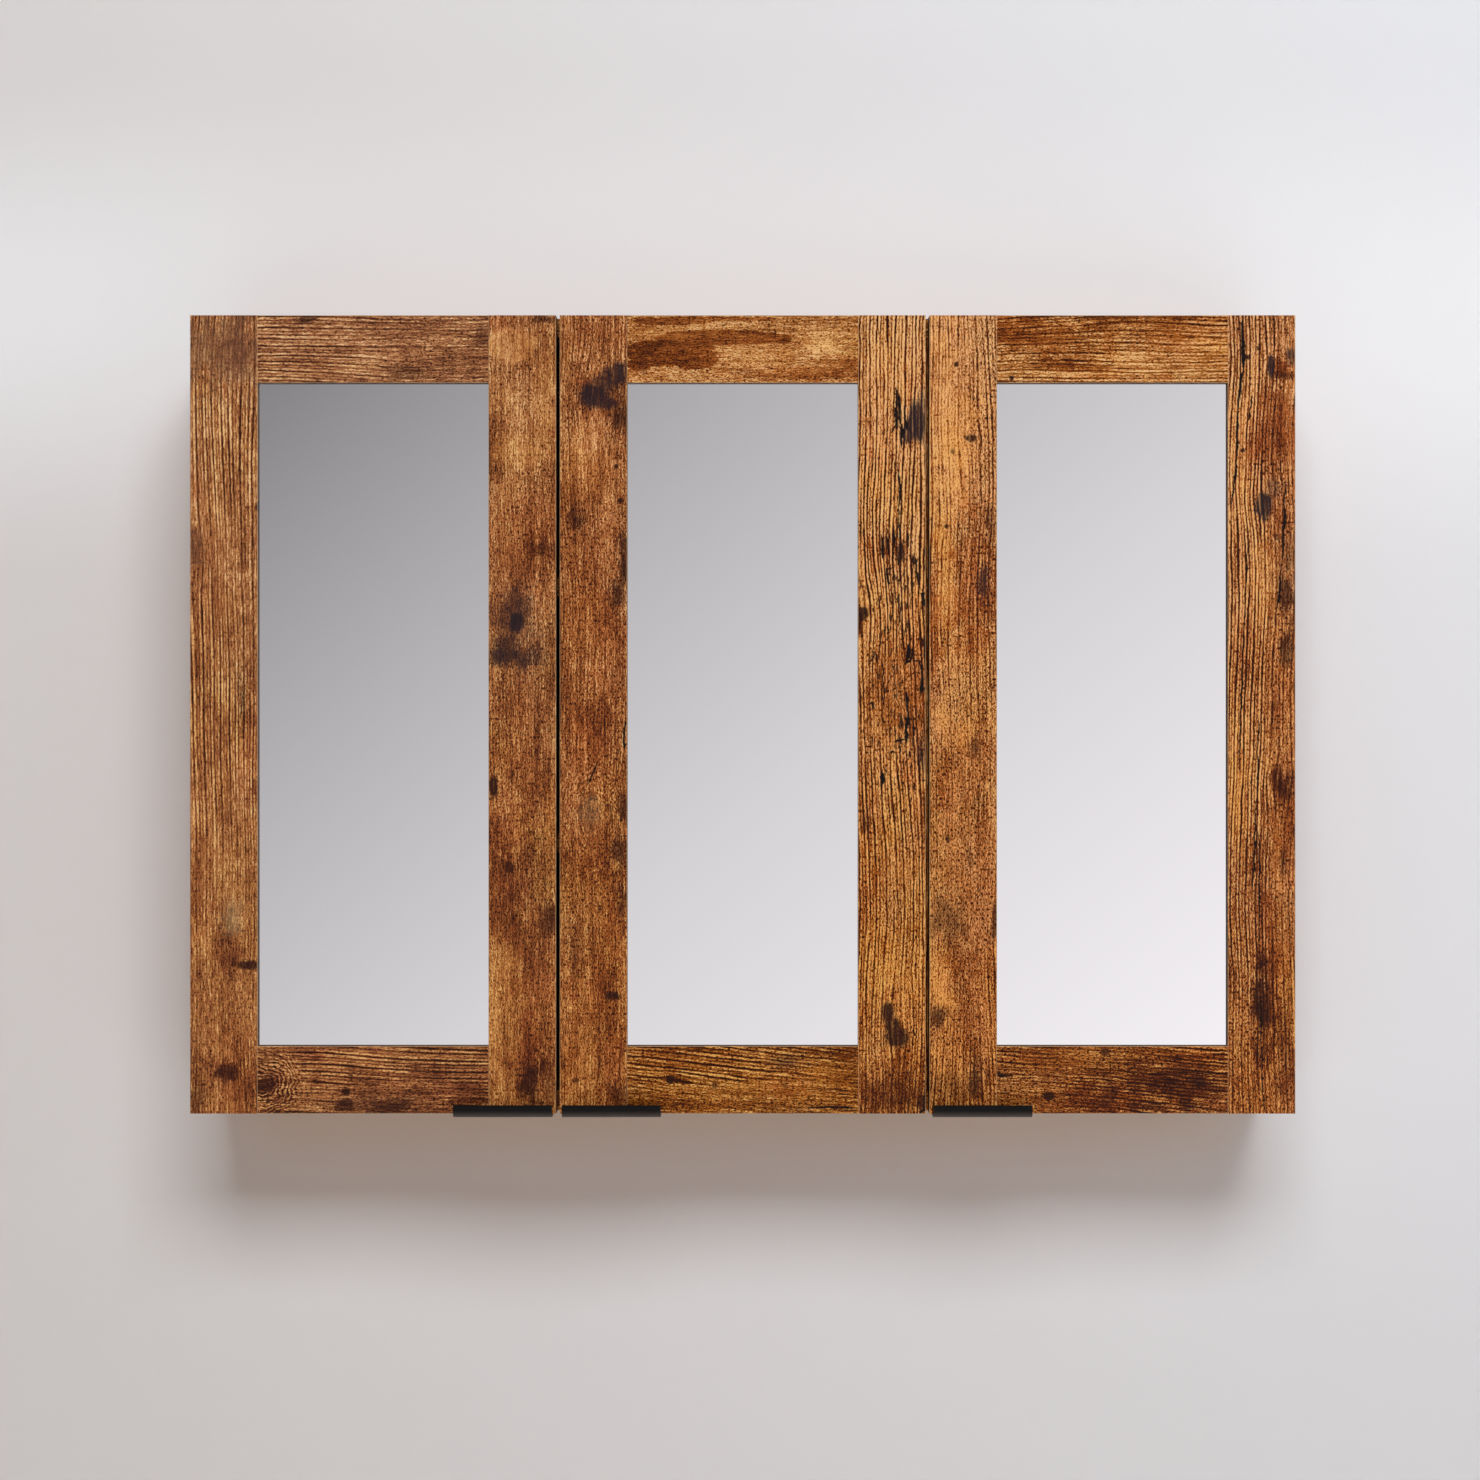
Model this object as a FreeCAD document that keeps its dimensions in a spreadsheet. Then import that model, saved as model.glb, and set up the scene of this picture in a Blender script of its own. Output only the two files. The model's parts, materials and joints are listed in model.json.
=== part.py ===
import FreeCAD, Part
import Sketcher
import os
import re

# Mirror cabinet with three framed doors, for a wall. Millimetres, +Z up, the doors face -Y.
# The origin is the middle of the back panel's rear face, which lies on the wall.

SIZES = {
    # carcass boards
    "cabinet_width": 900,
    "cabinet_height": 650,
    "carcass_depth": 131,
    "board": 16,
    "back_board": 3,
    "back_lap": 8,
    "back_play": 0.5,
    "arris": 0.4,
    # rail that takes the wall screws
    "rail_height": 70,
    "rail_play": 0.5,
    "wall_hole": 7,
    "outer_wall_pitch": 760,
    "inner_wall_pitch": 400,
    # shelves, measured from the bottom of the cabinet to their undersides
    "lower_shelf_height": 211,
    "upper_shelf_height": 423,
    "shelf_board": 16,
    "shelf_setback": 12,
    "shelf_play": 0.75,
    "pin_shank": 5,
    "pin_shank_length": 7.5,
    "pin_head": 7,
    "pin_head_length": 7,
    "pin_inset": 25,
    "pin_pitch": 32,
    "pin_play": 0.05,
    # dowels and cam fittings
    "dowel": 8,
    "dowel_length": 30,
    "dowel_in_face": 11,
    "dowel_inset": 30,
    "dowel_bevel": 1,
    "dowel_play": 0.05,
    "hole_floor": 0.5,
    "rail_dowel_inset": 18,
    "cam": 15,
    "cam_depth": 12.5,
    "cam_setback": 24,
    "cam_play": 0.1,
    "cam_mouth": 7.4,
    "bolt": 5,
    "bolt_in_face": 10,
    "bolt_head": 6.6,
    "bolt_head_length": 4,
    "bolt_bore": 8,
    # doors
    "door_board": 16,
    "door_gap": 3,
    "door_setback": 3,
    "stile_width": 55,
    "door_rail_width": 55,
    "mirror_recess": 5,
    "mirror_glass": 4,
    "backing_board": 3,
    "glass_lap": 8,
    "glass_play": 0.5,
    "outer_dowel_inset": 12,
    "inner_dowel_inset": 36,
    # edge pulls
    "pull_length": 80,
    "pull_inset": 2.5,
    "pull_gauge": 1.8,
    "pull_reach": 14,
    "pull_lip": 8.5,
    "pull_bend": 6.5,
    "pull_heel": 1,
    "pull_round": 0.8,
    "pull_flange": 15,
    "pull_screw_inset": 10,
    "pull_screw_height": 8,
    # door bumpers
    "bumper": 8,
    "bumper_bevel": 1,
    "bumper_play": 0.3,
    "bumper_inset": 105,
    # countersunk screws in the doors
    "door_screw": 3.2,
    "door_screw_head": 6,
    "door_screw_length": 13,
    "door_screw_point": 2,
    "screw_play": 0.05,
    "recess_depth": 1.2,
    # cup hinges
    "hinge_inset": 95,
    "cup": 35,
    "cup_edge": 3,
    "cup_depth": 13,
    "cup_wall": 0.7,
    "cup_play": 0.1,
    "cup_rim": 37,
    "cup_flange": 1.5,
    "cup_wing": 16,
    "cup_screw_pitch": 48,
    "cup_screw_offset": 6,
    "cup_wing_end": 6,
    "lug_gauge": 2,
    "lug_round": 2.7,
    "hinge_pin": 2.2,
    "hinge_pin_play": 0.05,
    "hinge_pin_press": 0.02,
    "pin_edge": 7,
    "pin_depth": 9.9,
    "eye": 4.4,
    "eye_width": 7.6,
    "eye_play": 0.2,
    # hinge arms and their mounting plates
    "arm_gauge": 1.6,
    "arm_width": 16,
    "arm_length": 58,
    "arm_play": 0.3,
    "neck_corner": 1.2,
    "crank_start": 5,
    "crank_run": 14,
    "arm_screw": 4,
    "arm_screw_head": 7,
    "arm_screw_head_height": 2,
    "arm_screw_setback": 50,
    "plate_base": 2,
    "plate_rise": 5.2,
    "plate_start": 20,
    "plate_end": 57,
    "plate_setback": 37,
    "plate_wing": 14,
    "plate_wing_reach": 23,
    "plate_pitch": 32,
    "rib_inset": 1,
    "plate_screw": 3.6,
    "plate_screw_head": 7,
    "plate_screw_length": 14,
}

# Sizes worked out from those above, as expressions
DOOR_WIDTH = "((cabinet_width - 2 * door_gap) / 3)"
DIVIDER_X = f"(({DOOR_WIDTH} + door_gap) / 2)"
FLOOR_Z = "(-cabinet_height / 2)"
DECK_HALF = "(cabinet_width / 2 - board)"
BACK_MARGIN = "(board - back_lap)"
DECK_DOWEL_Y = ("-(carcass_depth - dowel_inset)", "-dowel_inset")
CAM_Y = "(-carcass_depth / 2)"
DECK_MID_Z = ("board / 2", "cabinet_height - board / 2")
RAIL_Y = "(-(back_board + board / 2))"
RAIL_DOWEL_Z = (
    "cabinet_height - board - rail_dowel_inset",
    "cabinet_height - board - rail_height + rail_dowel_inset",
)
RAIL_MID_Z = "(cabinet_height / 2 - board - rail_height / 2)"
WALL_PITCHES = ("outer_wall_pitch", "inner_wall_pitch")
WALL_HOLE_X = tuple(f"{sign}{pitch} / 2" for pitch in WALL_PITCHES for sign in ("-", ""))
SHELF_HEIGHTS = {"lower": "lower_shelf_height", "upper": "upper_shelf_height"}
PIN_Y = ("-(carcass_depth - shelf_setback - pin_inset)", "-(back_board + pin_inset)")
HINGE_Z = ("hinge_inset", "cabinet_height - hinge_inset")
DOOR_BACK_Y = "(-(carcass_depth + door_setback))"
GLASS_DEPTH = "(door_board - mirror_recess)"
DOOR_DOWEL_Z = (
    "outer_dowel_inset",
    "inner_dowel_inset",
    "cabinet_height - inner_dowel_inset",
    "cabinet_height - outer_dowel_inset",
)
CUP_X = "(cup_edge + cup / 2)"
PULL_SCREW_X = (
    f"({DOOR_WIDTH} - pull_inset - pull_screw_inset)",
    f"({DOOR_WIDTH} - pull_inset - pull_length + pull_screw_inset)",
)
ARM_REACH = "(board + plate_rise + arm_gauge / 2 - pin_edge)"
ARM_START = "(pin_depth + door_setback)"
HALF_OVERLAY = "((board - door_gap) / 2)"
ARM_DROP = "(plate_rise - plate_base - arm_play)"

X_AXIS = FreeCAD.Vector(1, 0, 0)
Y_AXIS = FreeCAD.Vector(0, 1, 0)
Z_AXIS = FreeCAD.Vector(0, 0, 1)
UNTURNED = FreeCAD.Rotation()
HALF_TURN_Y = FreeCAD.Rotation(Y_AXIS, 180)

doc = FreeCAD.newDocument("MirrorCabinet")
sheet = doc.addObject("Spreadsheet::Sheet", "Sizes")
for row, (alias, size) in enumerate(SIZES.items(), start=1):
    sheet.set(f"A{row}", alias)
    sheet.set(f"B{row}", str(size))
    sheet.setAlias(f"B{row}", alias)
doc.recompute()

sub_parts = []


def bind(text):
    """Put the sheet's name before each size in an expression."""
    return re.sub(r"[a-z][a-z_]+", lambda word: "Sizes." + word.group(), text)


def value(text):
    return float(sheet.evalExpression(bind(text)))


def flip(side, text):
    """The expression itself, or its negative on a mirrored side."""
    return text if side > 0 else f"(-({text}))"


def place(piece, at):
    for letter, text in zip("xyz", at):
        piece.setExpression(f"Placement.Base.{letter}", bind(text))


def new_body(label, at=None):
    """A body at its place; without a place it is only the pattern for copies."""
    piece = doc.addObject("PartDesign::Body", label)
    piece.Label = label
    if at:
        place(piece, at)
        sub_parts.append(piece)
    return piece


def new_sketch(piece, role, offset="0"):
    """A sketch on one of the body's own planes, moved along that plane's normal."""
    sketch = piece.newObject("Sketcher::SketchObject", piece.Label + "_sketch")
    sketch.AttachmentSupport = [(next(f for f in piece.Origin.OriginFeatures if f.Role == role), "")]
    sketch.MapMode = "FlatFace"
    sketch.setExpression("AttachmentOffset.Base.z", bind(offset))
    return sketch


def fix_point(sketch, geometry, point, spot):
    for kind, text in zip(("DistanceX", "DistanceY"), spot):
        rule = Sketcher.Constraint(kind, -1, 1, geometry, point, value(text))
        sketch.setExpression(f"Constraints[{sketch.addConstraint(rule)}]", bind(text))


def polygon(sketch, corners):
    spots = [FreeCAD.Vector(value(x), value(y), 0) for x, y in corners]
    first = sketch.GeometryCount
    count = len(corners)
    for i in range(count):
        sketch.addGeometry(Part.LineSegment(spots[i], spots[(i + 1) % count]), False)
    for i in range(count):
        sketch.addConstraint(Sketcher.Constraint("Coincident", first + i, 2, first + (i + 1) % count, 1))
        fix_point(sketch, first + i, 1, corners[i])


def rectangle(sketch, across, up):
    polygon(sketch, ((across[0], up[0]), (across[1], up[0]), (across[1], up[1]), (across[0], up[1])))


def circle(sketch, spot, diameter):
    centre = FreeCAD.Vector(value(spot[0]), value(spot[1]), 0)
    ring = sketch.addGeometry(Part.Circle(centre, Z_AXIS, value(diameter) / 2), False)
    fix_point(sketch, ring, 3, spot)
    rule = Sketcher.Constraint("Diameter", ring, value(diameter))
    sketch.setExpression(f"Constraints[{sketch.addConstraint(rule)}]", bind(diameter))


def shape_by(piece, kind, sketch, length, along):
    """A pad or pocket along the sketch's normal (1), against it (-1) or to both sides (0)."""
    feature = piece.newObject(f"PartDesign::{kind}", piece.Label + "_" + kind.lower())
    feature.Profile = sketch
    feature.setExpression("Length", bind(length))
    feature.Midplane = along == 0
    feature.Reversed = along == (-1 if kind == "Pad" else 1)
    return feature


def pad(piece, sketch, length, along=1):
    return shape_by(piece, "Pad", sketch, length, along)


def cut(piece, sketch, depth, along):
    """A pocket, which has to take some material away."""
    doc.recompute()
    before = piece.Shape.Volume
    feature = shape_by(piece, "Pocket", sketch, depth, along)
    doc.recompute()
    if piece.Shape.Volume >= before:
        raise RuntimeError(f"a cut in {piece.Label} takes nothing away")
    return feature


def drill(piece, role, offset, spots, diameter, depth, along):
    sketch = new_sketch(piece, role, offset)
    for spot in spots:
        circle(sketch, spot, diameter)
    return cut(piece, sketch, depth, along)


def countersink(piece, role, offset, spots, along, shank, head, gauge):
    """Screw holes with a cone for the head, through a sheet of the given gauge and no farther."""
    sketch = new_sketch(piece, role, offset)
    for spot in spots:
        circle(sketch, spot, shank)
    doc.recompute()
    before = piece.Shape.Volume
    feature = piece.newObject("PartDesign::Hole", piece.Label + "_screw_holes")
    feature.Profile = sketch
    doc.recompute()
    feature.DepthType = "Dimension"
    feature.DrillPoint = "Flat"
    feature.HoleCutType = "Countersink"
    feature.HoleCutCountersinkAngle = 90
    feature.setExpression("Depth", bind(f"{gauge} + hole_floor"))
    feature.setExpression("Diameter", bind(f"{shank} + 2 * screw_play"))
    feature.setExpression("HoleCutDiameter", bind(f"{head} + 2 * screw_play"))
    feature.Reversed = along > 0
    doc.recompute()
    if piece.Shape.Volume >= before:
        raise RuntimeError(f"the screw holes in {piece.Label} take nothing away")


def cross_recess(piece, face, head):
    """A driver's cross sunk in the top of a screw or cam."""
    end = f"{head} / 4"
    slot = f"{head} / 14"
    quarter = [(slot, end), (slot, slot), (end, slot)]
    right = quarter + [(x, f"-{y}") for x, y in reversed(quarter)]
    cross = new_sketch(piece, "XY_Plane", face)
    polygon(cross, right + [(f"-{x}", y) for x, y in reversed(right)])
    cut(piece, cross, "recess_depth", -1)


def turned(piece, corners):
    """A solid turned about Z from half of its section."""
    section = new_sketch(piece, "XZ_Plane")
    polygon(section, corners)
    feature = piece.newObject("PartDesign::Revolution", piece.Label + "_turned")
    feature.Profile = section
    feature.ReferenceAxis = (section, ["V_Axis"])
    feature.Angle = 360


def round_edges(piece, corners, radius):
    """Fillet the edges along X that stand at the given places in the YZ section."""
    doc.recompute()
    base = piece.Tip
    names = []
    for y, z in corners:
        spot = (value(y), value(z))
        for number, edge in enumerate(base.Shape.Edges, start=1):
            ends = [vertex.Point for vertex in edge.Vertexes]
            if all(abs(p.y - spot[0]) < 1e-4 and abs(p.z - spot[1]) < 1e-4 for p in ends):
                names.append(f"Edge{number}")
    if len(names) != len(corners):
        raise RuntimeError(f"an edge to round on {piece.Label} was not found")
    feature = piece.newObject("PartDesign::Fillet", piece.Label + "_round")
    feature.Base = (base, names)
    feature.setExpression("Radius", bind(radius))


def group(label, pattern, copies):
    """Copies of one piece, each at a place and turned its own way, as one sub-part."""
    links = []
    for number, (at, turn) in enumerate(copies, start=1):
        link = doc.addObject("App::Link", f"{label}_{number}")
        link.LinkedObject = pattern
        link.Placement = FreeCAD.Placement(FreeCAD.Vector(), turn)
        place(link, at)
        links.append(link)
    piece = doc.addObject("Part::Compound", label)
    piece.Label = label
    piece.Links = links
    sub_parts.append(piece)


def facing(direction):
    """The turn that points a piece's own Z along a direction."""
    return FreeCAD.Rotation(Z_AXIS, direction)


# Carcass

def pin_rows(piece, face, along, bottom):
    """Three rows of shelf-pin holes about each shelf; bottom is the board's lower end."""
    spots = [
        (y, f"{height} - {bottom} - pin_head / 2 - pin_pitch")
        for height in SHELF_HEIGHTS.values() for y in PIN_Y]
    lowest = drill(
        piece, "YZ_Plane", face, spots, "pin_shank + 2 * pin_play", "pin_shank_length + pin_play", along)
    rows = piece.newObject("PartDesign::LinearPattern", piece.Label + "_pin_rows")
    rows.Originals = [lowest]
    rows.Direction = (lowest.Profile[0], ["V_Axis"])
    rows.Mode = "Spacing"
    rows.setExpression("Offset", bind("pin_pitch"))
    rows.Occurrences = 3
    piece.Tip = rows


def plate_pilots(piece, face, along, bottom):
    """Pilot holes for the screws of two hinge plates."""
    spots = [
        ("-(carcass_depth - plate_setback)", f"{height} - {bottom} {sign} plate_pitch / 2")
        for height in HINGE_Z for sign in "+-"]
    drill(
        piece, "YZ_Plane", face, spots, "plate_screw + 2 * screw_play",
        "plate_screw_length - plate_base + hole_floor", along)


def side_panel(label, side):
    """A side board; side is 1 where its inner face looks along +X."""
    piece = new_body(label, (flip(side, "-cabinet_width / 2"), "0", FLOOR_Z))
    inner = flip(side, "board")
    section = new_sketch(piece, "XY_Plane")
    rectangle(section, ("0", inner), ("-carcass_depth", "0"))
    pad(piece, section, "cabinet_height")
    rebate = new_sketch(piece, "XZ_Plane")
    rectangle(rebate, (flip(side, BACK_MARGIN), inner), (BACK_MARGIN, f"cabinet_height - {BACK_MARGIN}"))
    cut(piece, rebate, "back_board", 1)
    dowels = [(y, z) for y in DECK_DOWEL_Y for z in DECK_MID_Z] + [(RAIL_Y, z) for z in RAIL_DOWEL_Z]
    drill(
        piece, "YZ_Plane", inner, dowels, "dowel + 2 * dowel_play", "dowel_in_face + hole_floor", -side)
    bolts = [(CAM_Y, z) for z in DECK_MID_Z]
    drill(piece, "YZ_Plane", inner, bolts, "bolt + 2 * dowel_play", "bolt_in_face + hole_floor", -side)
    plate_pilots(piece, inner, -side, "0")
    pin_rows(piece, inner, -side, "0")


def deck(label, up):
    """The top or bottom board; up is 1 where its inner face looks along +Z."""
    base = FLOOR_Z if up > 0 else "(cabinet_height / 2 - board)"
    piece = new_body(label, ("0", "0", base))
    section = new_sketch(piece, "XY_Plane")
    rectangle(section, (f"-{DECK_HALF}", DECK_HALF), ("-carcass_depth", "0"))
    pad(piece, section, "board")
    inner = "board" if up > 0 else "0"
    rebate = new_sketch(piece, "XZ_Plane")
    rectangle(rebate, (f"-{DECK_HALF}", DECK_HALF), (BACK_MARGIN, "board") if up > 0 else ("0", "back_lap"))
    cut(piece, rebate, "back_board", 1)
    for side in (1, -1):
        end = flip(side, f"-{DECK_HALF}")
        drill(
            piece, "YZ_Plane", end, [(y, "board / 2") for y in DECK_DOWEL_Y], "dowel + 2 * dowel_play",
            "dowel_length - dowel_in_face + hole_floor", side)
        drill(piece, "YZ_Plane", end, [(CAM_Y, "board / 2")], "bolt_bore", "cam_setback", side)
    cams = [(flip(side, f"{DECK_HALF} - cam_setback"), CAM_Y) for side in (1, -1)]
    drill(piece, "XY_Plane", inner, cams, "cam + 2 * cam_play", "cam_depth + cam_play", -up)
    drill(
        piece, "XY_Plane", inner, [(DIVIDER_X, y) for y in DECK_DOWEL_Y], "dowel + 2 * dowel_play",
        "dowel_in_face + hole_floor", -up)


def divider_panel():
    """The upright board that carries the middle door's hinges."""
    height = "(cabinet_height - 2 * board)"
    piece = new_body("divider_panel", (f"{DIVIDER_X} - board / 2", "0", f"{FLOOR_Z} + board"))
    section = new_sketch(piece, "XY_Plane")
    rectangle(section, ("0", "board"), ("-carcass_depth", "-back_board"))
    pad(piece, section, height)
    notch = new_sketch(piece, "YZ_Plane", "board / 2")
    notch_foot = f"{height} - rail_height - rail_play"
    rectangle(notch, ("-(back_board + board + rail_play)", "0"), (notch_foot, height))
    cut(piece, notch, "board", 0)
    for end, along in (("0", 1), (height, -1)):
        spots = [("board / 2", DECK_DOWEL_Y[0]), ("board / 2", DECK_DOWEL_Y[1])]
        drill(
            piece, "XY_Plane", end, spots, "dowel + 2 * dowel_play",
            "dowel_length - dowel_in_face + hole_floor", along)
    plate_pilots(piece, "0", 1, "board")
    pin_rows(piece, "0", 1, "board")
    pin_rows(piece, "board", -1, "board")


def back_panel():
    piece = new_body("back_panel", ("0", "0", "0"))
    sheet_sketch = new_sketch(piece, "XZ_Plane")
    half_width = f"(cabinet_width / 2 - {BACK_MARGIN} - back_play)"
    half_height = f"(cabinet_height / 2 - {BACK_MARGIN} - back_play)"
    rectangle(sheet_sketch, (f"-{half_width}", half_width), (f"-{half_height}", half_height))
    pad(piece, sheet_sketch, "back_board")
    drill(piece, "XZ_Plane", "0", [(x, RAIL_MID_Z) for x in WALL_HOLE_X], "wall_hole", "back_board", 1)


def mounting_rail():
    """The board behind the shelves' bay that the wall screws go through."""
    piece = new_body("mounting_rail", ("0", "-back_board", RAIL_MID_Z))
    face = new_sketch(piece, "XZ_Plane")
    rectangle(face, (f"-{DECK_HALF}", DECK_HALF), ("-rail_height / 2", "rail_height / 2"))
    pad(piece, face, "board")
    drill(piece, "XZ_Plane", "0", [(x, "0") for x in WALL_HOLE_X], "wall_hole", "board", 1)
    for side in (1, -1):
        spots = [("-board / 2", f"{sign}(rail_height / 2 - rail_dowel_inset)") for sign in ("", "-")]
        drill(
            piece, "YZ_Plane", flip(side, f"-{DECK_HALF}"), spots, "dowel + 2 * dowel_play",
            "dowel_length - dowel_in_face + hole_floor", side)


def shelf(label, start, end, height):
    """A loose shelf between two upright faces, with its front arrises taken off."""
    piece = new_body(label, (f"{start} + shelf_play", "0", f"{FLOOR_Z} + {height}"))
    front = "-(carcass_depth - shelf_setback)"
    back = "-(back_board + shelf_play)"
    section = new_sketch(piece, "YZ_Plane")
    polygon(section, (
        (back, "0"), (f"{front} + arris", "0"), (front, "arris"),
        (front, "shelf_board - arris"), (f"{front} + arris", "shelf_board"), (back, "shelf_board")))
    pad(piece, section, f"{end} - ({start}) - 2 * shelf_play")


def shelf_pins(bays):
    pattern = new_body("shelf_pin")
    turned(pattern, (
        ("0", "-pin_shank_length"), ("pin_shank / 2", "-pin_shank_length"), ("pin_shank / 2", "0"),
        ("pin_head / 2", "0"), ("pin_head / 2", "pin_head_length"), ("0", "pin_head_length")))
    copies = []
    for start, end in bays:
        for x, direction in ((start, X_AXIS), (end, -X_AXIS)):
            for height in SHELF_HEIGHTS.values():
                level = f"{FLOOR_Z} + {height} - pin_head / 2"
                copies += [((x, y, level), facing(direction)) for y in PIN_Y]
    group("shelf_pins", pattern, copies)


def cam_fittings():
    """Cams in the decks that pull on bolts set in the sides."""
    lock = new_body("cam_lock")
    disc = new_sketch(lock, "XY_Plane")
    circle(disc, ("0", "0"), "cam")
    pad(lock, disc, "cam_depth", -1)
    mouth = new_sketch(lock, "YZ_Plane", "bolt_head / 2")
    circle(mouth, ("0", "-board / 2"), "cam_mouth")
    cut(lock, mouth, "cam", -1)
    cross_recess(lock, "0", "cam")
    bolt = new_body("cam_bolt")
    neck = "(cam_setback - bolt_head_length / 2)"
    turned(bolt, (
        ("0", "-bolt_in_face"), ("bolt / 2", "-bolt_in_face"), ("bolt / 2", neck), ("bolt_head / 2", neck),
        ("bolt_head / 2", f"{neck} + bolt_head_length"), ("0", f"{neck} + bolt_head_length")))
    locks = []
    bolts = []
    for side in (1, -1):
        for up in (1, -1):
            turn = FreeCAD.Rotation(Z_AXIS, 0 if side > 0 else 180)
            if up < 0:
                turn = turn.multiply(FreeCAD.Rotation(X_AXIS, 180))
            face = flip(up, f"{FLOOR_Z} + board")
            locks.append(((flip(side, f"-({DECK_HALF} - cam_setback)"), CAM_Y, face), turn))
            level = flip(up, f"{FLOOR_Z} + board / 2")
            bolts.append(((flip(side, f"-{DECK_HALF}"), CAM_Y, level), facing(X_AXIS * side)))
    group("cam_locks", lock, locks)
    group("cam_bolts", bolt, bolts)


def dowel_pattern():
    pattern = new_body("dowel_pin")
    half = "dowel_length / 2"
    turned(pattern, (
        ("0", f"-{half}"), ("dowel / 2 - dowel_bevel", f"-{half}"), ("dowel / 2", f"-{half} + dowel_bevel"),
        ("dowel / 2", f"{half} - dowel_bevel"), ("dowel / 2 - dowel_bevel", half), ("0", half)))
    return pattern


def carcass_dowels(pattern):
    shift = "(dowel_length / 2 - dowel_in_face)"
    copies = []
    for side in (1, -1):
        x = flip(side, f"-{DECK_HALF} + {shift}")
        spots = [(y, z) for y in DECK_DOWEL_Y for z in DECK_MID_Z] + [(RAIL_Y, z) for z in RAIL_DOWEL_Z]
        copies += [((x, y, f"{FLOOR_Z} + {z}"), facing(X_AXIS)) for y, z in spots]
        height = flip(side, f"{FLOOR_Z} + board + {shift}")
        copies += [((DIVIDER_X, y, height), UNTURNED) for y in DECK_DOWEL_Y]
    group("carcass_dowels", pattern, copies)


# Cup hinges

def hinge_arm(label, side, overlay, hinge_x, height):
    """A sheet arm from the pin in the cup, out of the cup's mouth and onto the mounting plate."""
    piece = new_body(label, (
        f"{hinge_x} + {flip(side, 'pin_edge')}", f"{DOOR_BACK_Y} - pin_depth", f"{FLOOR_Z} + {height}"))
    half = "arm_gauge / 2"
    eye = new_sketch(piece, "XY_Plane")
    circle(eye, ("0", "0"), "eye")
    pad(piece, eye, "eye_width", 0)
    neck = new_sketch(piece, "XY_Plane")
    outer = f"({ARM_REACH} + {half})"
    inner = f"({ARM_REACH} - {half})"
    bend = (
        ("0", f"-{half}"), (f"{outer} - neck_corner", f"-{half}"), (outer, f"-{half} + neck_corner"),
        (outer, ARM_START), (inner, ARM_START), (inner, half), ("0", half))
    polygon(neck, [(flip(side, x), y) for x, y in bend])
    pad(piece, neck, "eye_width", 0)
    path = [("0", ARM_START), ("0", f"{ARM_START} + arm_length")]
    crank = f"(board - {overlay})"
    if overlay != "board":
        path[1:] = [
            ("0", f"{ARM_START} + crank_start"), (crank, f"{ARM_START} + crank_start + crank_run"),
            (crank, f"{ARM_START} + arm_length")]
    top = [(f"{outer} - {fall}", y) for fall, y in path]
    foot = [(f"{inner} - {fall} - {ARM_DROP}", y) for fall, y in reversed(path)]
    channel = new_sketch(piece, "XY_Plane")
    polygon(channel, [(flip(side, x), y) for x, y in top + foot])
    pad(piece, channel, "arm_width", 0)
    under = [(f"{inner} - {fall}", y) for fall, y in path]
    hollow = new_sketch(piece, "XY_Plane")
    polygon(hollow, [(flip(side, x), y) for x, y in under + foot])
    cut(piece, hollow, "arm_width - 2 * arm_gauge", 0)
    bore = new_sketch(piece, "XY_Plane")
    circle(bore, ("0", "0"), "hinge_pin + 2 * hinge_pin_press")
    cut(piece, bore, "eye_width", 0)
    seat = flip(side, f"{outer} - {path[-1][0]}")
    hole = (f"{ARM_START} + arm_screw_setback", "0")
    drill(piece, "YZ_Plane", seat, [hole], "arm_screw + 2 * screw_play", "arm_gauge", -side)


def hinge_cup_pattern():
    """A cup for the door's back, with two lugs inside that carry the pin."""
    piece = new_body("hinge_cup")
    floor = "(cup_depth - cup_wall)"
    bowl = new_sketch(piece, "XZ_Plane")
    circle(bowl, ("0", "0"), "cup")
    pad(piece, bowl, "cup_depth")
    rim = new_sketch(piece, "XZ_Plane")
    circle(rim, ("0", "0"), "cup_rim")
    pad(piece, rim, "cup_flange", -1)
    wing = new_sketch(piece, "XZ_Plane")
    reach = "(cup_screw_pitch / 2 + cup_wing_end)"
    rectangle(
        wing, ("cup_screw_offset - cup_wing / 2", "cup_screw_offset + cup_wing / 2"), (f"-{reach}", reach))
    pad(piece, wing, "cup_flange", -1)
    drill(piece, "XZ_Plane", "-cup_flange", [("0", "0")], "cup - 2 * cup_wall", f"cup_flange + {floor}", 1)
    pin_x = f"(pin_edge - {CUP_X})"
    near = "(eye_width / 2 + eye_play)"
    lugs = new_sketch(piece, "XZ_Plane", floor)
    for sign in ("", "-"):
        across = (f"{pin_x} - lug_round", f"{pin_x} + lug_round")
        rectangle(lugs, across, (f"{sign}{near}", f"{sign}({near} + lug_gauge)"))
    pad(piece, lugs, f"{floor} - pin_depth + lug_round", -1)
    bore = new_sketch(piece, "XY_Plane")
    circle(bore, (pin_x, "-pin_depth"), "hinge_pin + 2 * hinge_pin_play")
    cut(piece, bore, f"2 * ({near} + lug_gauge)", 0)
    screws = [("cup_screw_offset", f"{sign}cup_screw_pitch / 2") for sign in ("", "-")]
    countersink(piece, "XZ_Plane", "-cup_flange", screws, 1, "door_screw", "door_screw_head", "cup_flange")
    return piece


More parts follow.
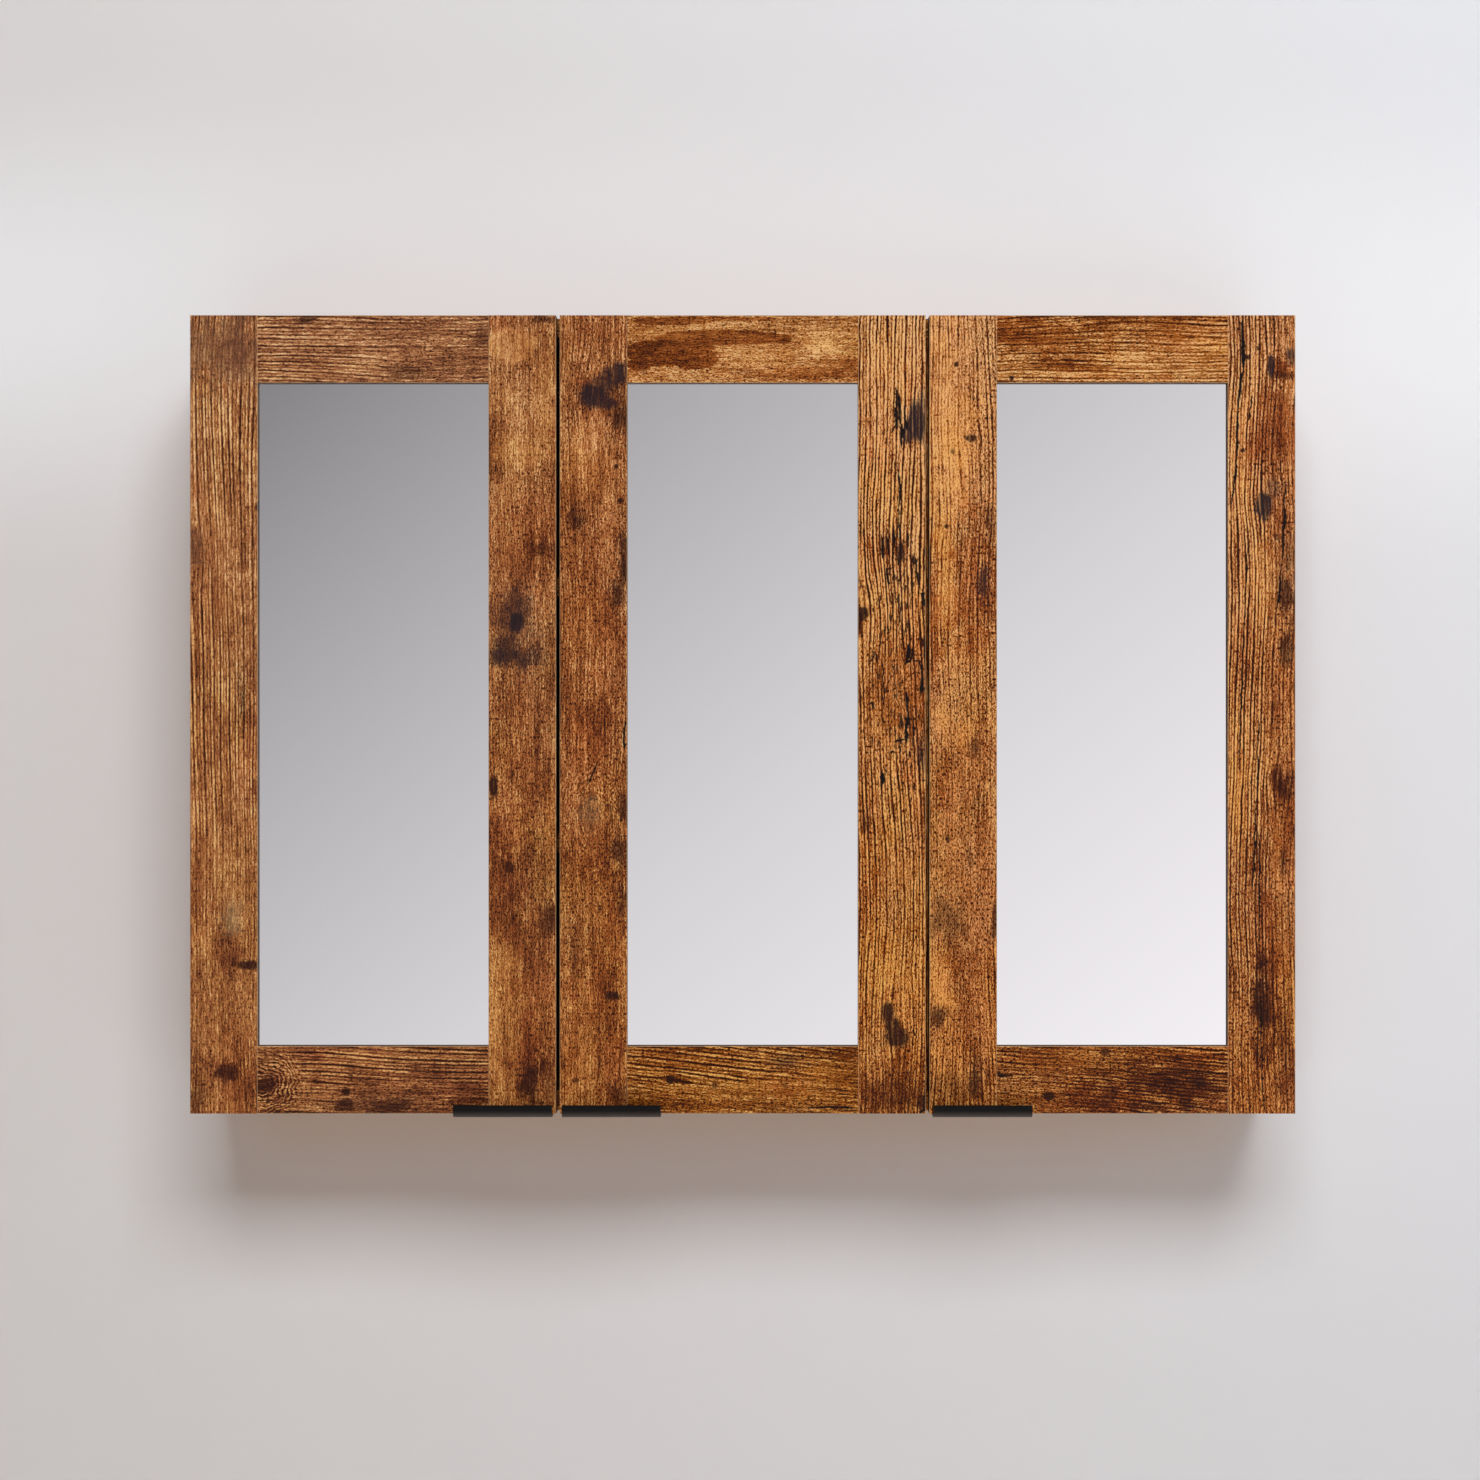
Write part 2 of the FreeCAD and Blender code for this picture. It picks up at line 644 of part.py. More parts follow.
def hinge_plate_pattern():
    """A winged plate for a board's inner face, with a rib that the arm sits over."""
    piece = new_body("hinge_plate")
    wing = ("(plate_setback - plate_wing / 2)", "(plate_setback + plate_wing / 2)")
    half = "arm_width / 2"
    base = new_sketch(piece, "YZ_Plane")
    outline = [
        ("plate_start", half), (wing[0], half), (wing[0], "plate_wing_reach"), (wing[1], "plate_wing_reach"),
        (wing[1], half), ("plate_end", half)]
    polygon(base, outline + [(y, f"-({z})") for y, z in reversed(outline)])
    pad(piece, base, "plate_base")
    rib = new_sketch(piece, "YZ_Plane")
    rib_half = "(arm_width / 2 - arm_gauge - arm_play)"
    rectangle(rib, ("plate_start + rib_inset", "plate_end - rib_inset"), (f"-{rib_half}", rib_half))
    pad(piece, rib, "plate_rise")
    drill(
        piece, "YZ_Plane", "plate_rise", [("arm_screw_setback", "0")], "arm_screw + 2 * screw_play",
        "plate_rise", -1)
    screws = [("plate_setback", f"{sign}plate_pitch / 2") for sign in ("", "-")]
    countersink(piece, "YZ_Plane", "plate_base", screws, -1, "plate_screw", "plate_screw_head", "plate_base")
    return piece


def countersunk_screw(label, shank, head, length):
    """A screw whose flat head lies at Z 0, pointing down."""
    piece = new_body(label)
    turned(piece, (
        ("0", "0"), (f"{head} / 2", "0"), (f"{shank} / 2", f"-({head} - {shank}) / 2"),
        (f"{shank} / 2", f"-({length} - door_screw_point)"), ("0", f"-{length}")))
    cross_recess(piece, "0", head)
    return piece


def arm_screw_pattern():
    piece = new_body("arm_screw_pin")
    tip = "-(plate_rise + arm_gauge)"
    turned(piece, (
        ("0", tip), ("arm_screw / 2", tip), ("arm_screw / 2", "0"), ("arm_screw_head / 2", "0"),
        ("arm_screw_head / 2", "arm_screw_head_height"), ("0", "arm_screw_head_height")))
    cross_recess(piece, "arm_screw_head_height", "arm_screw_head")
    return piece


def hinge_pin_pattern():
    piece = new_body("hinge_pivot")
    section = new_sketch(piece, "XY_Plane")
    circle(section, ("0", "0"), "hinge_pin")
    pad(piece, section, "eye_width + 2 * (eye_play + lug_gauge)", 0)
    return piece


def fixed_hinge_pieces(doors):
    """Arms, plates, pins and screws that stay with the carcass."""
    plates = []
    plate_screws = []
    arm_screws = []
    pins = []
    for name, side, hinge_x, overlay in doors:
        face = f"{hinge_x} + {flip(side, overlay)}"
        inward = facing(X_AXIS * side)
        for level, height in zip(("lower", "upper"), HINGE_Z):
            z = f"{FLOOR_Z} + {height}"
            hinge_arm(f"{name}_{level}_hinge_arm", side, overlay, hinge_x, height)
            plates.append(((face, "-carcass_depth", z), UNTURNED if side > 0 else HALF_TURN_Y))
            y = "-(carcass_depth - plate_setback)"
            x = f"{face} + {flip(side, 'plate_base')}"
            plate_screws += [((x, y, f"{z} {sign} plate_pitch / 2"), inward) for sign in "+-"]
            x = f"{face} + {flip(side, 'plate_rise + arm_gauge')}"
            arm_screws.append(((x, "-(carcass_depth - arm_screw_setback)", z), inward))
            x = f"{hinge_x} + {flip(side, 'pin_edge')}"
            pins.append(((x, f"{DOOR_BACK_Y} - pin_depth", z), UNTURNED))
    group("hinge_plates", hinge_plate_pattern(), plates)
    screw = countersunk_screw("plate_screw_pin", "plate_screw", "plate_screw_head", "plate_screw_length")
    group("plate_screws", screw, plate_screws)
    group("arm_screws", arm_screw_pattern(), arm_screws)
    group("hinge_pins", hinge_pin_pattern(), pins)


# Doors: each is drawn from its hinge edge, its back face and its bottom edge

def stile(label, side, at, span, inner_edge, away):
    """An upright of the frame; away is 1 where its inner edge looks away from the hinge edge."""
    piece = new_body(label, at)
    section = new_sketch(piece, "XY_Plane")
    outline = (
        (span[0], "0"), (span[1], "0"), (span[1], "-door_board + arris"),
        (f"{span[1]} - arris", "-door_board"), (f"{span[0]} + arris", "-door_board"),
        (span[0], "-door_board + arris"))
    polygon(section, [(flip(side, x), y) for x, y in outline])
    pad(piece, section, "cabinet_height")
    rebate = new_sketch(piece, "XZ_Plane")
    lap = f"{inner_edge} {'-' if away > 0 else '+'} glass_lap"
    rise = ("door_rail_width - glass_lap", "cabinet_height - door_rail_width + glass_lap")
    rectangle(rebate, (flip(side, inner_edge), flip(side, lap)), rise)
    cut(piece, rebate, GLASS_DEPTH, 1)
    drill(
        piece, "YZ_Plane", flip(side, inner_edge), [("-door_board / 2", z) for z in DOOR_DOWEL_Z],
        "dowel + 2 * dowel_play", "dowel_length / 2 + hole_floor", -side * away)
    return piece


def hinge_stile(label, side, at):
    piece = stile(label, side, at, ("0", "stile_width"), "stile_width", 1)
    cups = [(flip(side, CUP_X), z) for z in HINGE_Z]
    drill(piece, "XZ_Plane", "0", cups, "cup + 2 * cup_play", "cup_depth + cup_play", 1)
    screws = [
        (flip(side, f"{CUP_X} + cup_screw_offset"), f"{z} {sign} cup_screw_pitch / 2")
        for z in HINGE_Z for sign in "+-"]
    drill(
        piece, "XZ_Plane", "0", screws, "door_screw + 2 * screw_play",
        "door_screw_length - cup_flange + hole_floor", 1)


def pull_pilot(piece, side, x):
    drill(
        piece, "XZ_Plane", "0", [(flip(side, x), "pull_screw_height")], "door_screw + 2 * screw_play",
        "door_screw_length - pull_gauge + hole_floor", 1)


def pull_stile(label, side, at):
    inner = f"({DOOR_WIDTH} - stile_width)"
    piece = stile(label, side, at, (inner, DOOR_WIDTH), inner, -1)
    pull_pilot(piece, side, PULL_SCREW_X[0])


def door_rail(label, side, at, up):
    """A rail between the stiles, rebated for the glass; up is 1 for the bottom rail."""
    piece = new_body(label, at)
    section = new_sketch(piece, "YZ_Plane", flip(side, "stile_width"))
    outline = (
        ("0", "0"), ("0", "door_rail_width - glass_lap"), (f"-{GLASS_DEPTH}", "door_rail_width - glass_lap"),
        (f"-{GLASS_DEPTH}", "door_rail_width"), ("-door_board + arris", "door_rail_width"),
        ("-door_board", "door_rail_width - arris"), ("-door_board", "arris"), ("-door_board + arris", "0"))
    polygon(section, [(y, z if up > 0 else f"cabinet_height - ({z})") for y, z in outline])
    length = f"({DOOR_WIDTH} - 2 * stile_width)"
    pad(piece, section, length, side)
    ends = (("stile_width", side), (f"stile_width + {length}", -side))
    for end, along in ends:
        spots = [("-door_board / 2", z) for z in (DOOR_DOWEL_Z[:2] if up > 0 else DOOR_DOWEL_Z[2:])]
        drill(
            piece, "YZ_Plane", flip(side, end), spots, "dowel + 2 * dowel_play",
            "dowel_length / 2 + hole_floor", along)
    if up > 0:
        pull_pilot(piece, side, PULL_SCREW_X[1])


def pane(label, side, at, depth, thickness):
    """A sheet in the frame's rebate; depth is how far its front lies from the door's back."""
    piece = new_body(label, at)
    face = new_sketch(piece, "XZ_Plane", f"{depth} - {thickness}")
    margin = "(stile_width - glass_lap + glass_play)"
    low = "(door_rail_width - glass_lap + glass_play)"
    across = [flip(side, x) for x in (margin, f"{DOOR_WIDTH} - {margin}")]
    rectangle(face, across, (low, f"cabinet_height - {low}"))
    pad(piece, face, thickness)


def edge_pull(label, side, at):
    """A bent pull under the door's bottom edge, with a lip turned up in front of the door."""
    piece = new_body(label, at)
    front = "(-(door_board + pull_reach))"
    end = f"({DOOR_WIDTH} - pull_inset - pull_length)"
    section = new_sketch(piece, "YZ_Plane", flip(side, end))
    polygon(section, (
        ("pull_gauge", "pull_flange"), ("0", "pull_flange"), ("0", "0"), (f"{front} + pull_gauge", "0"),
        (f"{front} + pull_gauge", "pull_lip"), (front, "pull_lip"), (front, "-pull_gauge"),
        ("pull_gauge", "-pull_gauge")))
    pad(piece, section, "pull_length", side)
    round_edges(piece, [(front, "-pull_gauge")], "pull_bend")
    round_edges(piece, [(f"{front} + pull_gauge", "0")], "pull_bend - pull_gauge")
    round_edges(piece, [(front, "pull_lip"), (f"{front} + pull_gauge", "pull_lip")], "pull_round")
    round_edges(piece, [("pull_gauge", "-pull_gauge")], "pull_heel")
    screws = [(flip(side, x), "pull_screw_height") for x in PULL_SCREW_X]
    countersink(piece, "XZ_Plane", "-pull_gauge", screws, 1, "door_screw", "door_screw_head", "pull_gauge")


def bumper_pattern():
    piece = new_body("bumper_dot")
    height = "(door_setback - bumper_play)"
    turned(piece, (
        ("0", "0"), ("bumper / 2", "0"), ("bumper / 2", f"{height} - bumper_bevel"),
        ("bumper / 2 - bumper_bevel", height), ("0", height)))
    return piece


def door_groups(name, side, hinge_x, patterns):
    """The door's cups, screws, bumpers and dowels."""
    backward = facing(Y_AXIS)

    def spot(x, y, z):
        return f"{hinge_x} + {flip(side, x)}", f"{DOOR_BACK_Y} + {y}", f"{FLOOR_Z} + {z}"

    cups = [(spot(CUP_X, "0", z), UNTURNED if side > 0 else HALF_TURN_Y) for z in HINGE_Z]
    group(f"{name}_hinge_cups", patterns["cup"], cups)
    screws = [
        (spot(f"{CUP_X} + cup_screw_offset", "cup_flange", f"{z} {sign} cup_screw_pitch / 2"), backward)
        for z in HINGE_Z for sign in "+-"]
    screws += [(spot(x, "pull_gauge", "pull_screw_height"), backward) for x in PULL_SCREW_X]
    group(f"{name}_screws", patterns["screw"], screws)
    bumpers = [(spot(f"{DOOR_WIDTH} - bumper_inset", "0", z), backward) for z in DECK_MID_Z]
    group(f"{name}_bumpers", patterns["bumper"], bumpers)
    joints = ("stile_width", f"{DOOR_WIDTH} - stile_width")
    dowels = [(spot(x, "-door_board / 2", z), facing(X_AXIS)) for x in joints for z in DOOR_DOWEL_Z]
    group(f"{name}_dowels", patterns["dowel"], dowels)


def door(name, side, hinge_x, patterns):
    at = (hinge_x, DOOR_BACK_Y, FLOOR_Z)
    hinge_stile(f"{name}_hinge_stile", side, at)
    pull_stile(f"{name}_pull_stile", side, at)
    door_rail(f"{name}_top_rail", side, at, -1)
    door_rail(f"{name}_bottom_rail", side, at, 1)
    pane(f"{name}_mirror", side, at, GLASS_DEPTH, "mirror_glass")
    pane(f"{name}_backing", side, at, f"({GLASS_DEPTH} - mirror_glass)", "backing_board")
    edge_pull(f"{name}_pull", side, at)
    door_groups(name, side, hinge_x, patterns)


def build():
    side_panel("left_side_panel", 1)
    side_panel("right_side_panel", -1)
    deck("bottom_panel", 1)
    deck("top_panel", -1)
    divider_panel()
    back_panel()
    mounting_rail()
    bays = {
        "left": (f"-{DECK_HALF}", f"{DIVIDER_X} - board / 2"),
        "right": (f"{DIVIDER_X} + board / 2", DECK_HALF),
    }
    for bay, (start, end) in bays.items():
        for level, height in SHELF_HEIGHTS.items():
            shelf(f"{bay}_{level}_shelf", start, end, height)
    shelf_pins(bays.values())
    cam_fittings()
    dowel = dowel_pattern()
    carcass_dowels(dowel)
    # name, side the hinge edge is on (1 left, -1 right), that edge, and how far the door laps its board
    doors = (
        ("left_door", 1, "-cabinet_width / 2", "board"),
        ("middle_door", -1, f"{DOOR_WIDTH} / 2", HALF_OVERLAY),
        ("right_door", -1, "cabinet_width / 2", "board"),
    )
    fixed_hinge_pieces(doors)
    patterns = {
        "cup": hinge_cup_pattern(),
        "screw": countersunk_screw("door_screw_pin", "door_screw", "door_screw_head", "door_screw_length"),
        "bumper": bumper_pattern(),
        "dowel": dowel,
    }
    for name, side, hinge_x, overlay in doors:
        door(name, side, hinge_x, patterns)


def export():
    doc.recompute()
    for item in doc.Objects:
        if {"Invalid", "Error"} & set(item.State):
            raise RuntimeError(f"{item.Label} failed: {item.State}")
    for piece in sub_parts:
        if piece.Shape.isNull() or not piece.Shape.isValid():
            raise RuntimeError(f"{piece.Label} has no valid shape")
    os.makedirs("parts", exist_ok=True)
    for piece in sub_parts:
        piece.Shape.exportStep(f"parts/{piece.Label}.step")
    print(len(sub_parts), "sub-parts written")


build()
export()
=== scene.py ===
import json
import math
from collections import namedtuple

import bpy
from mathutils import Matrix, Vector


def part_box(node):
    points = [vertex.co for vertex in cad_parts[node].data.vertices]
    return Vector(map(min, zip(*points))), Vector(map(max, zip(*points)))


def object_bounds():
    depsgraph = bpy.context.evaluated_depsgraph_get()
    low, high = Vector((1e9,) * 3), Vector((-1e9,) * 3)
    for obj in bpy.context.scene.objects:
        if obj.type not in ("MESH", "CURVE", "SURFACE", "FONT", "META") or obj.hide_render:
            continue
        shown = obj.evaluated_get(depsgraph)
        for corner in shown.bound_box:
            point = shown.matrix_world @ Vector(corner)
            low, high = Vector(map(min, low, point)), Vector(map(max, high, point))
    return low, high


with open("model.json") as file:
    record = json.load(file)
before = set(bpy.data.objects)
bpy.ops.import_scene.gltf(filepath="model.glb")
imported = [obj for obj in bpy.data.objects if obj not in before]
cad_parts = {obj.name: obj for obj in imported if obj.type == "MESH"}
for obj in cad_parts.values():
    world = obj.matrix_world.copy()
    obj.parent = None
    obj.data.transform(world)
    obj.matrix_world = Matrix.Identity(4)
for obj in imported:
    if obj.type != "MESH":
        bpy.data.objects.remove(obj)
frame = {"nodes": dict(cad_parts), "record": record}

# Looks of a wall-hung cabinet with three framed mirror doors, in metres, in the frame of its solids.
# Places and sizes on the boards are in millimetres, seen from the front: x to the right, z up.

cad_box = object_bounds()

MM = 1000.0  # millimetres in a metre

# A board's print: pitch of its grain lines in mm, contrast of the lines, strength of the speckle, lightness,
# redness and greyness, how far the lines lean (mm across for each mm along), and how much they wobble
Print = namedtuple("Print", "pitch contrast grit lightness redness greyness lean wobble")
DOOR_PRINTS = {
    "left_door_hinge_stile": Print(2.6, 1.1, 1.0, 0.05, 0.1, 0.04, 0.02, 0.4),
    "left_door_pull_stile": Print(2.6, 0.3, 1.8, 0.03, 0.25, 0.025, 0.0, 0.8),
    "left_door_top_rail": Print(2.7, 1.0, 1.2, 0.01, -0.1, 0.07, 0.03, 0.5),
    "left_door_bottom_rail": Print(3.0, 1.5, 1.3, -0.07, 0.1, 0.06, 0.05, 0.6),
    "middle_door_pull_stile": Print(2.7, 0.7, 1.7, 0.03, 0.4, 0.015, 0.0, 0.9),
    "middle_door_hinge_stile": Print(2.9, 3.3, 2.6, 0.11, 0.64, -0.02, 0.0, 1.0),
    "middle_door_top_rail": Print(4.5, 0.3, 1.5, 0.15, 0.15, -0.02, 0.0, 0.8),
    "middle_door_bottom_rail": Print(3.0, 2.1, 2.0, -0.06, 0.18, -0.02, 0.13, 1.0),
    "right_door_pull_stile": Print(2.8, 2.0, 2.7, 0.17, 0.64, -0.01, 0.0, 0.9),
    "right_door_hinge_stile": Print(2.9, 2.4, 2.1, 0.04, 0.68, 0.005, -0.01, 0.9),
    "right_door_top_rail": Print(2.9, 1.5, 1.6, 0.09, 0.25, -0.03, 0.0, 0.8),
    "right_door_bottom_rail": Print(3.0, 1.9, 2.3, -0.09, 0.45, 0.0, 0.08, 1.1),
}
CARCASS_PRINT = Print(2.8, 1.0, 1.0, -0.03, 0.25, 0.0, 0.01, 0.8)
# Carcass boards: the axes that run across, through and along each board
CARCASS_BOARDS = {
    "left_side_panel": "yxz", "right_side_panel": "yxz", "divider_panel": "yxz",
    "top_panel": "yzx", "bottom_panel": "yzx", "mounting_rail": "zyx",
    "left_lower_shelf": "yzx", "left_upper_shelf": "yzx",
    "right_lower_shelf": "yzx", "right_upper_shelf": "yzx",
}

# Marks on the door boards by kind: x and z of the middle, half width, half height, strength
MARKS = {
    "left_door_hinge_stile": {
        "plain": ((-421, 295, 36, 28, 0.8), (-422, -245, 37, 122, 0.95)),
        "ash": ((-421, 297, 34, 31, 1.2), (-447, 136, 7, 16, 1)),
        "stain": (
            (-409, 298, 16, 15, 0.6), (-448, 137, 6, 15, 0.7), (-415, -196, 10, 15, 0.8),
            (-419, -291, 12, 8, 1.2), (-422, -273, 33, 49, 0.3), (-437, 61, 18, 49, 0.3),
            (-442, -118, 11, 49, 0.4), (-400, -25, 8, 36, 0.8), (-413, -304, 20, 21, 0.8),
        ),
        "knot": ((-395, 169, 2, 5, 0.8), (-403, -204, 10, 4, 0.9), (-419, -292, 11, 7, 0.85)),
        "pale": ((-416, -165, 8, 10, 0.8),),
        "smudge": ((-444, -310, 6, 13, 0.6), (-408, 12, 4, 21, 0.5)),
        "gold": ((-426, 150, 13, 33, 0.4), (-424, -118, 20, 33, 0.3), (-422, 89, 10, 16, 0.6)),
    },
    "left_door_pull_stile": {
        "stain": (
            (-198, 320, 13, 7, 0.8), (-162, 305, 3, 16, 0.7), (-181, 236, 20, 10, 0.5),
            (-169, 150, 18, 29, 0.6), (-194, 83, 18, 20, 0.7), (-181, 12, 26, 28, 0.5),
            (-194, -94, 16, 21, 0.7), (-190, -141, 21, 31, 1.1), (-179, 20, 13, 49, 0.7),
            (-173, -45, 15, 41, 0.6), (-169, -220, 16, 33, 0.8), (-167, -171, 18, 20, 0.6),
            (-175, -269, 10, 41, 1.2), (-179, 114, 24, 16, 0.5), (-185, -169, 23, 13, 0.5),
        ),
        "smudge": (
            (-161, 322, 11, 3, 0.8), (-165, 134, 10, 7, 0.55), (-188, 48, 21, 10, 0.4),
            (-158, -166, 7, 12, 0.75), (-172, -303, 10, 18, 0.85), (-158, -302, 7, 21, 0.5),
        ),
        "worn": ((-189, 301, 20, 15, 1),),
        "gold": (
            (-187, 299, 21, 16, 0.5), (-161, 256, 10, 41, 0.7), (-194, 256, 13, 21, 0.5),
            (-195, 158, 11, 49, 0.5), (-185, 215, 23, 11, 0.8), (-195, -204, 13, 29, 0.6),
            (-196, -273, 13, 46, 0.6), (-157, -78, 4, 49, 0.5),
        ),
        "eye": ((-184, 75, 7, 9, 1.05),),
        "soot": (
            (-185, 83, 14, 18, 0.55), (-192, 48, 21, 7, 0.8), (-176, 44, 15, 7, 0.7),
            (-194, 57, 13, 7, 0.55),
        ),
        "ash": ((-185, 67, 26, 34, 0.5),),
        "knot": ((-203, -58, 4, 9, 1), (-190, -125, 5, 5, 0.75)),
    },
    "middle_door_pull_stile": {
        "stain": (
            (-115, 256, 23, 21, 0.7), (-124, 77, 28, 73, 0.45), (-128, -106, 20, 28, 0.5),
            (-116, -224, 7, 34, 0.6), (-116, 309, 28, 13, 0.4), (-128, -21, 23, 36, 0.6),
            (-105, -175, 8, 28, 0.6), (-106, -291, 10, 33, 0.8),
        ),
        "plain": ((-122, 126, 36, 114, 0.6), (-122, -200, 36, 130, 0.8)),
        "eye": (
            (-121, 259, 14, 11, 1.0), (-114, 254, 13, 6, 0.8), (-115, 268, 10, 9, 0.8),
            (-107, 275, 11, 8, 0.85), (-100, 279, 8, 9, 0.95),
        ),
        "smudge": (
            (-107, 263, 13, 8, 0.75), (-102, 251, 10, 7, 0.6), (-101, 238, 9, 14, 0.85),
            (-136, 158, 7, 9, 0.85), (-97, 126, 4, 23, 0.9), (-102, 100, 7, 14, 0.8),
            (-98, -76, 5, 11, 0.8), (-100, -114, 7, 14, 0.8), (-98, -151, 5, 18, 0.7),
            (-138, -204, 3, 23, 0.5), (-101, -311, 7, 10, 0.6),
        ),
        "knot": (
            (-103, 202, 2, 2, 1), (-99, 174, 3, 2, 1), (-106, -229, 7, 4, 0.9), (-136, -298, 3, 2, 0.7),
        ),
        "gold": (
            (-123, 211, 16, 29, 0.7), (-111, 158, 5, 33, 0.4), (-133, -283, 11, 36, 0.5),
            (-124, 183, 24, 11, 0.5), (-144, 289, 5, 33, 0.35),
        ),
        "pale": ((-124, -78, 11, 10, 0.4),),
    },
    "middle_door_hinge_stile": {
        "checks": ((132, 93, 23, 57, 1.2), (133, -13, 23, 49, 1.05), (122, 44, 29, 106, 0.8)),
        "plain": ((122, -192, 33, 130, 0.55), (124, 12, 29, 49, 0.7), (122, -306, 34, 41, 0.8)),
        "eye": ((142, 237, 8, 18, 1.3), (136, 228, 7, 7, 1.2)),
        "soot": ((146, 252, 4, 10, 0.8), (148, -41, 4, 13, 0.9), (146, -35, 5, 16, 0.6)),
        "stain": (
            (112, 134, 20, 11, 0.8), (107, 124, 9, 14, 1), (104, -86, 10, 18, 0.8), (144, -82, 7, 23, 0.7),
            (122, 12, 29, 49, 0.4), (115, -135, 28, 44, 0.5), (138, -41, 11, 20, 0.9),
            (102, -257, 10, 24, 0.5), (120, -306, 29, 29, 0.9), (112, -310, 29, 20, 1.6),
            (102, -88, 11, 21, 1.1), (143, 12, 10, 65, 0.9), (100, -302, 8, 24, 0.6),
            (144, -302, 7, 24, 0.8),
        ),
        "knot": (
            (128, 131, 4, 8, 0.95), (139, 126, 2, 5, 0.95), (118, -243, 5, 9, 1), (122, -254, 6, 8, 1),
            (125, -263, 10, 8, 1), (98, 82, 4, 6, 0.95),
        ),
        "smudge": (
            (115, 137, 4, 10, 0.7), (149, 57, 2, 24, 0.9), (100, -88, 6, 11, 0.5), (122, -311, 33, 20, 0.5),
            (148, -317, 7, 7, 0.9),
        ),
        "gold": (
            (112, 61, 16, 49, 0.5), (117, -118, 20, 24, 0.3), (122, -206, 24, 29, 0.5),
            (118, 285, 24, 37, 0.7), (116, 232, 13, 33, 0.5), (132, 175, 11, 28, 0.6),
            (122, 40, 10, 28, 0.5), (122, 20, 24, 49, 0.5), (126, 175, 21, 33, 0.5),
        ),
    },
    "right_door_pull_stile": {
        "knot": (
            (174, 285, 2, 2, 1), (186, 225, 5, 3, 0.95), (171, 214, 2, 2, 0.6), (166, 153, 2, 2, 0.8),
            (167, -101, 2, 4, 0.7),
        ),
        "stain": (
            (197, 158, 10, 26, 0.7), (189, 110, 15, 57, 1.2), (156, 77, 5, 52, 1), (192, -224, 15, 81, 0.9),
            (189, -45, 16, 28, 0.6), (183, -302, 21, 28, 0.9), (187, -50, 10, 11, 0.7),
            (165, -57, 8, 13, 0.5), (166, -88, 6, 16, 0.4), (181, -250, 28, 7, 0.7),
            (200, -135, 8, 41, 0.6), (197, -269, 10, 20, 0.6), (177, -294, 28, 29, 0.9),
            (181, -200, 16, 20, 0.5), (182, -265, 24, 16, 0.7), (166, -66, 7, 18, 0.9),
            (198, -110, 8, 49, 0.7),
        ),
        "smudge": (
            (201, 158, 5, 14, 0.6), (188, -26, 5, 10, 0.6), (185, -118, 3, 8, 0.5),
            (167, -167, 13, 20, 0.55), (205, -171, 3, 12, 0.8), (158, -246, 7, 7, 0.8),
            (189, -294, 7, 18, 0.8), (170, -304, 20, 16, 0.4),
        ),
        "soot": ((196, 110, 5, 16, 0.8),),
        "plain": ((179, -118, 33, 212, 0.9), (185, 126, 24, 163, 0.6)),
        "gold": (
            (160, 232, 10, 90, 0.7), (167, 240, 16, 90, 1.3), (167, 118, 8, 57, 0.9),
            (173, 61, 16, 24, 0.4), (165, -232, 11, 7, 0.7), (161, -4, 8, 16, 0.7), (161, 150, 8, 23, 0.9),
            (161, -212, 8, 24, 0.7), (179, -19, 10, 11, 0.7), (174, -128, 10, 18, 0.5),
        ),
    },
    "right_door_hinge_stile": {
        "knot": ((420, 298, 2, 2, 1), (412, 291, 2, 2, 1), (407, 215, 2, 2, 1), (435, 144, 3, 3, 0.6)),
        "eye": ((430, 284, 3, 11, 1.1), (424, 170, 7, 12, 1.1)),
        "stain": (
            (437, 281, 7, 9, 1.3), (428, 230, 21, 34, 0.7), (440, -56, 12, 14, 1), (446, -94, 6, 18, 0.7),
            (444, -86, 7, 33, 0.6), (420, -180, 11, 28, 0.5), (405, 53, 13, 49, 0.5),
            (413, -192, 24, 41, 0.4), (423, -175, 10, 49, 0.4), (442, 20, 10, 33, 0.4),
            (424, -200, 11, 90, 1), (439, 158, 11, 28, 0.6), (444, -302, 7, 28, 0.7),
            (444, -110, 7, 28, 0.8),
        ),
        "smudge": (
            (438, 276, 8, 3, 0.8), (446, 126, 5, 18, 0.4), (443, 100, 7, 20, 0.8), (442, 53, 6, 13, 0.8),
            (440, -56, 10, 11, 0.7), (440, -120, 3, 10, 0.8), (422, -235, 7, 37, 0.9),
            (442, -281, 8, 42, 0.3),
        ),
        "soot": ((446, 292, 4, 6, 0.9), (432, 184, 8, 7, 0.6)),
        "plain": ((441, 12, 16, 342, 0.8), (423, -281, 33, 73, 0.75)),
        "gold": (
            (423, 110, 11, 33, 0.7), (424, 260, 20, 41, 0.35), (413, 264, 7, 49, 0.5),
            (405, 215, 8, 49, 0.9), (439, -200, 10, 33, 0.35), (429, -21, 5, 33, 0.4),
            (444, 252, 7, 41, 0.8), (436, -114, 4, 28, 0.8), (405, -61, 7, 49, 0.5),
        ),
    },
    "left_door_top_rail": {
        "stain": ((-212, 297, 15, 33, 0.5), (-277, 300, 10, 8, 0.8), (-247, 316, 33, 8, 0.5)),
        "plain": ((-247, 297, 49, 41, 0.8),),
        "smudge": ((-356, 322, 7, 4, 0.8), (-277, 279, 16, 6, 0.5), (-212, 309, 8, 13, 0.4)),
        "gold": ((-332, 279, 41, 7, 0.3),),
    },
    "middle_door_top_rail": {
        "plain": ((-1, 297, 114, 33, 1),),
        "spill": (
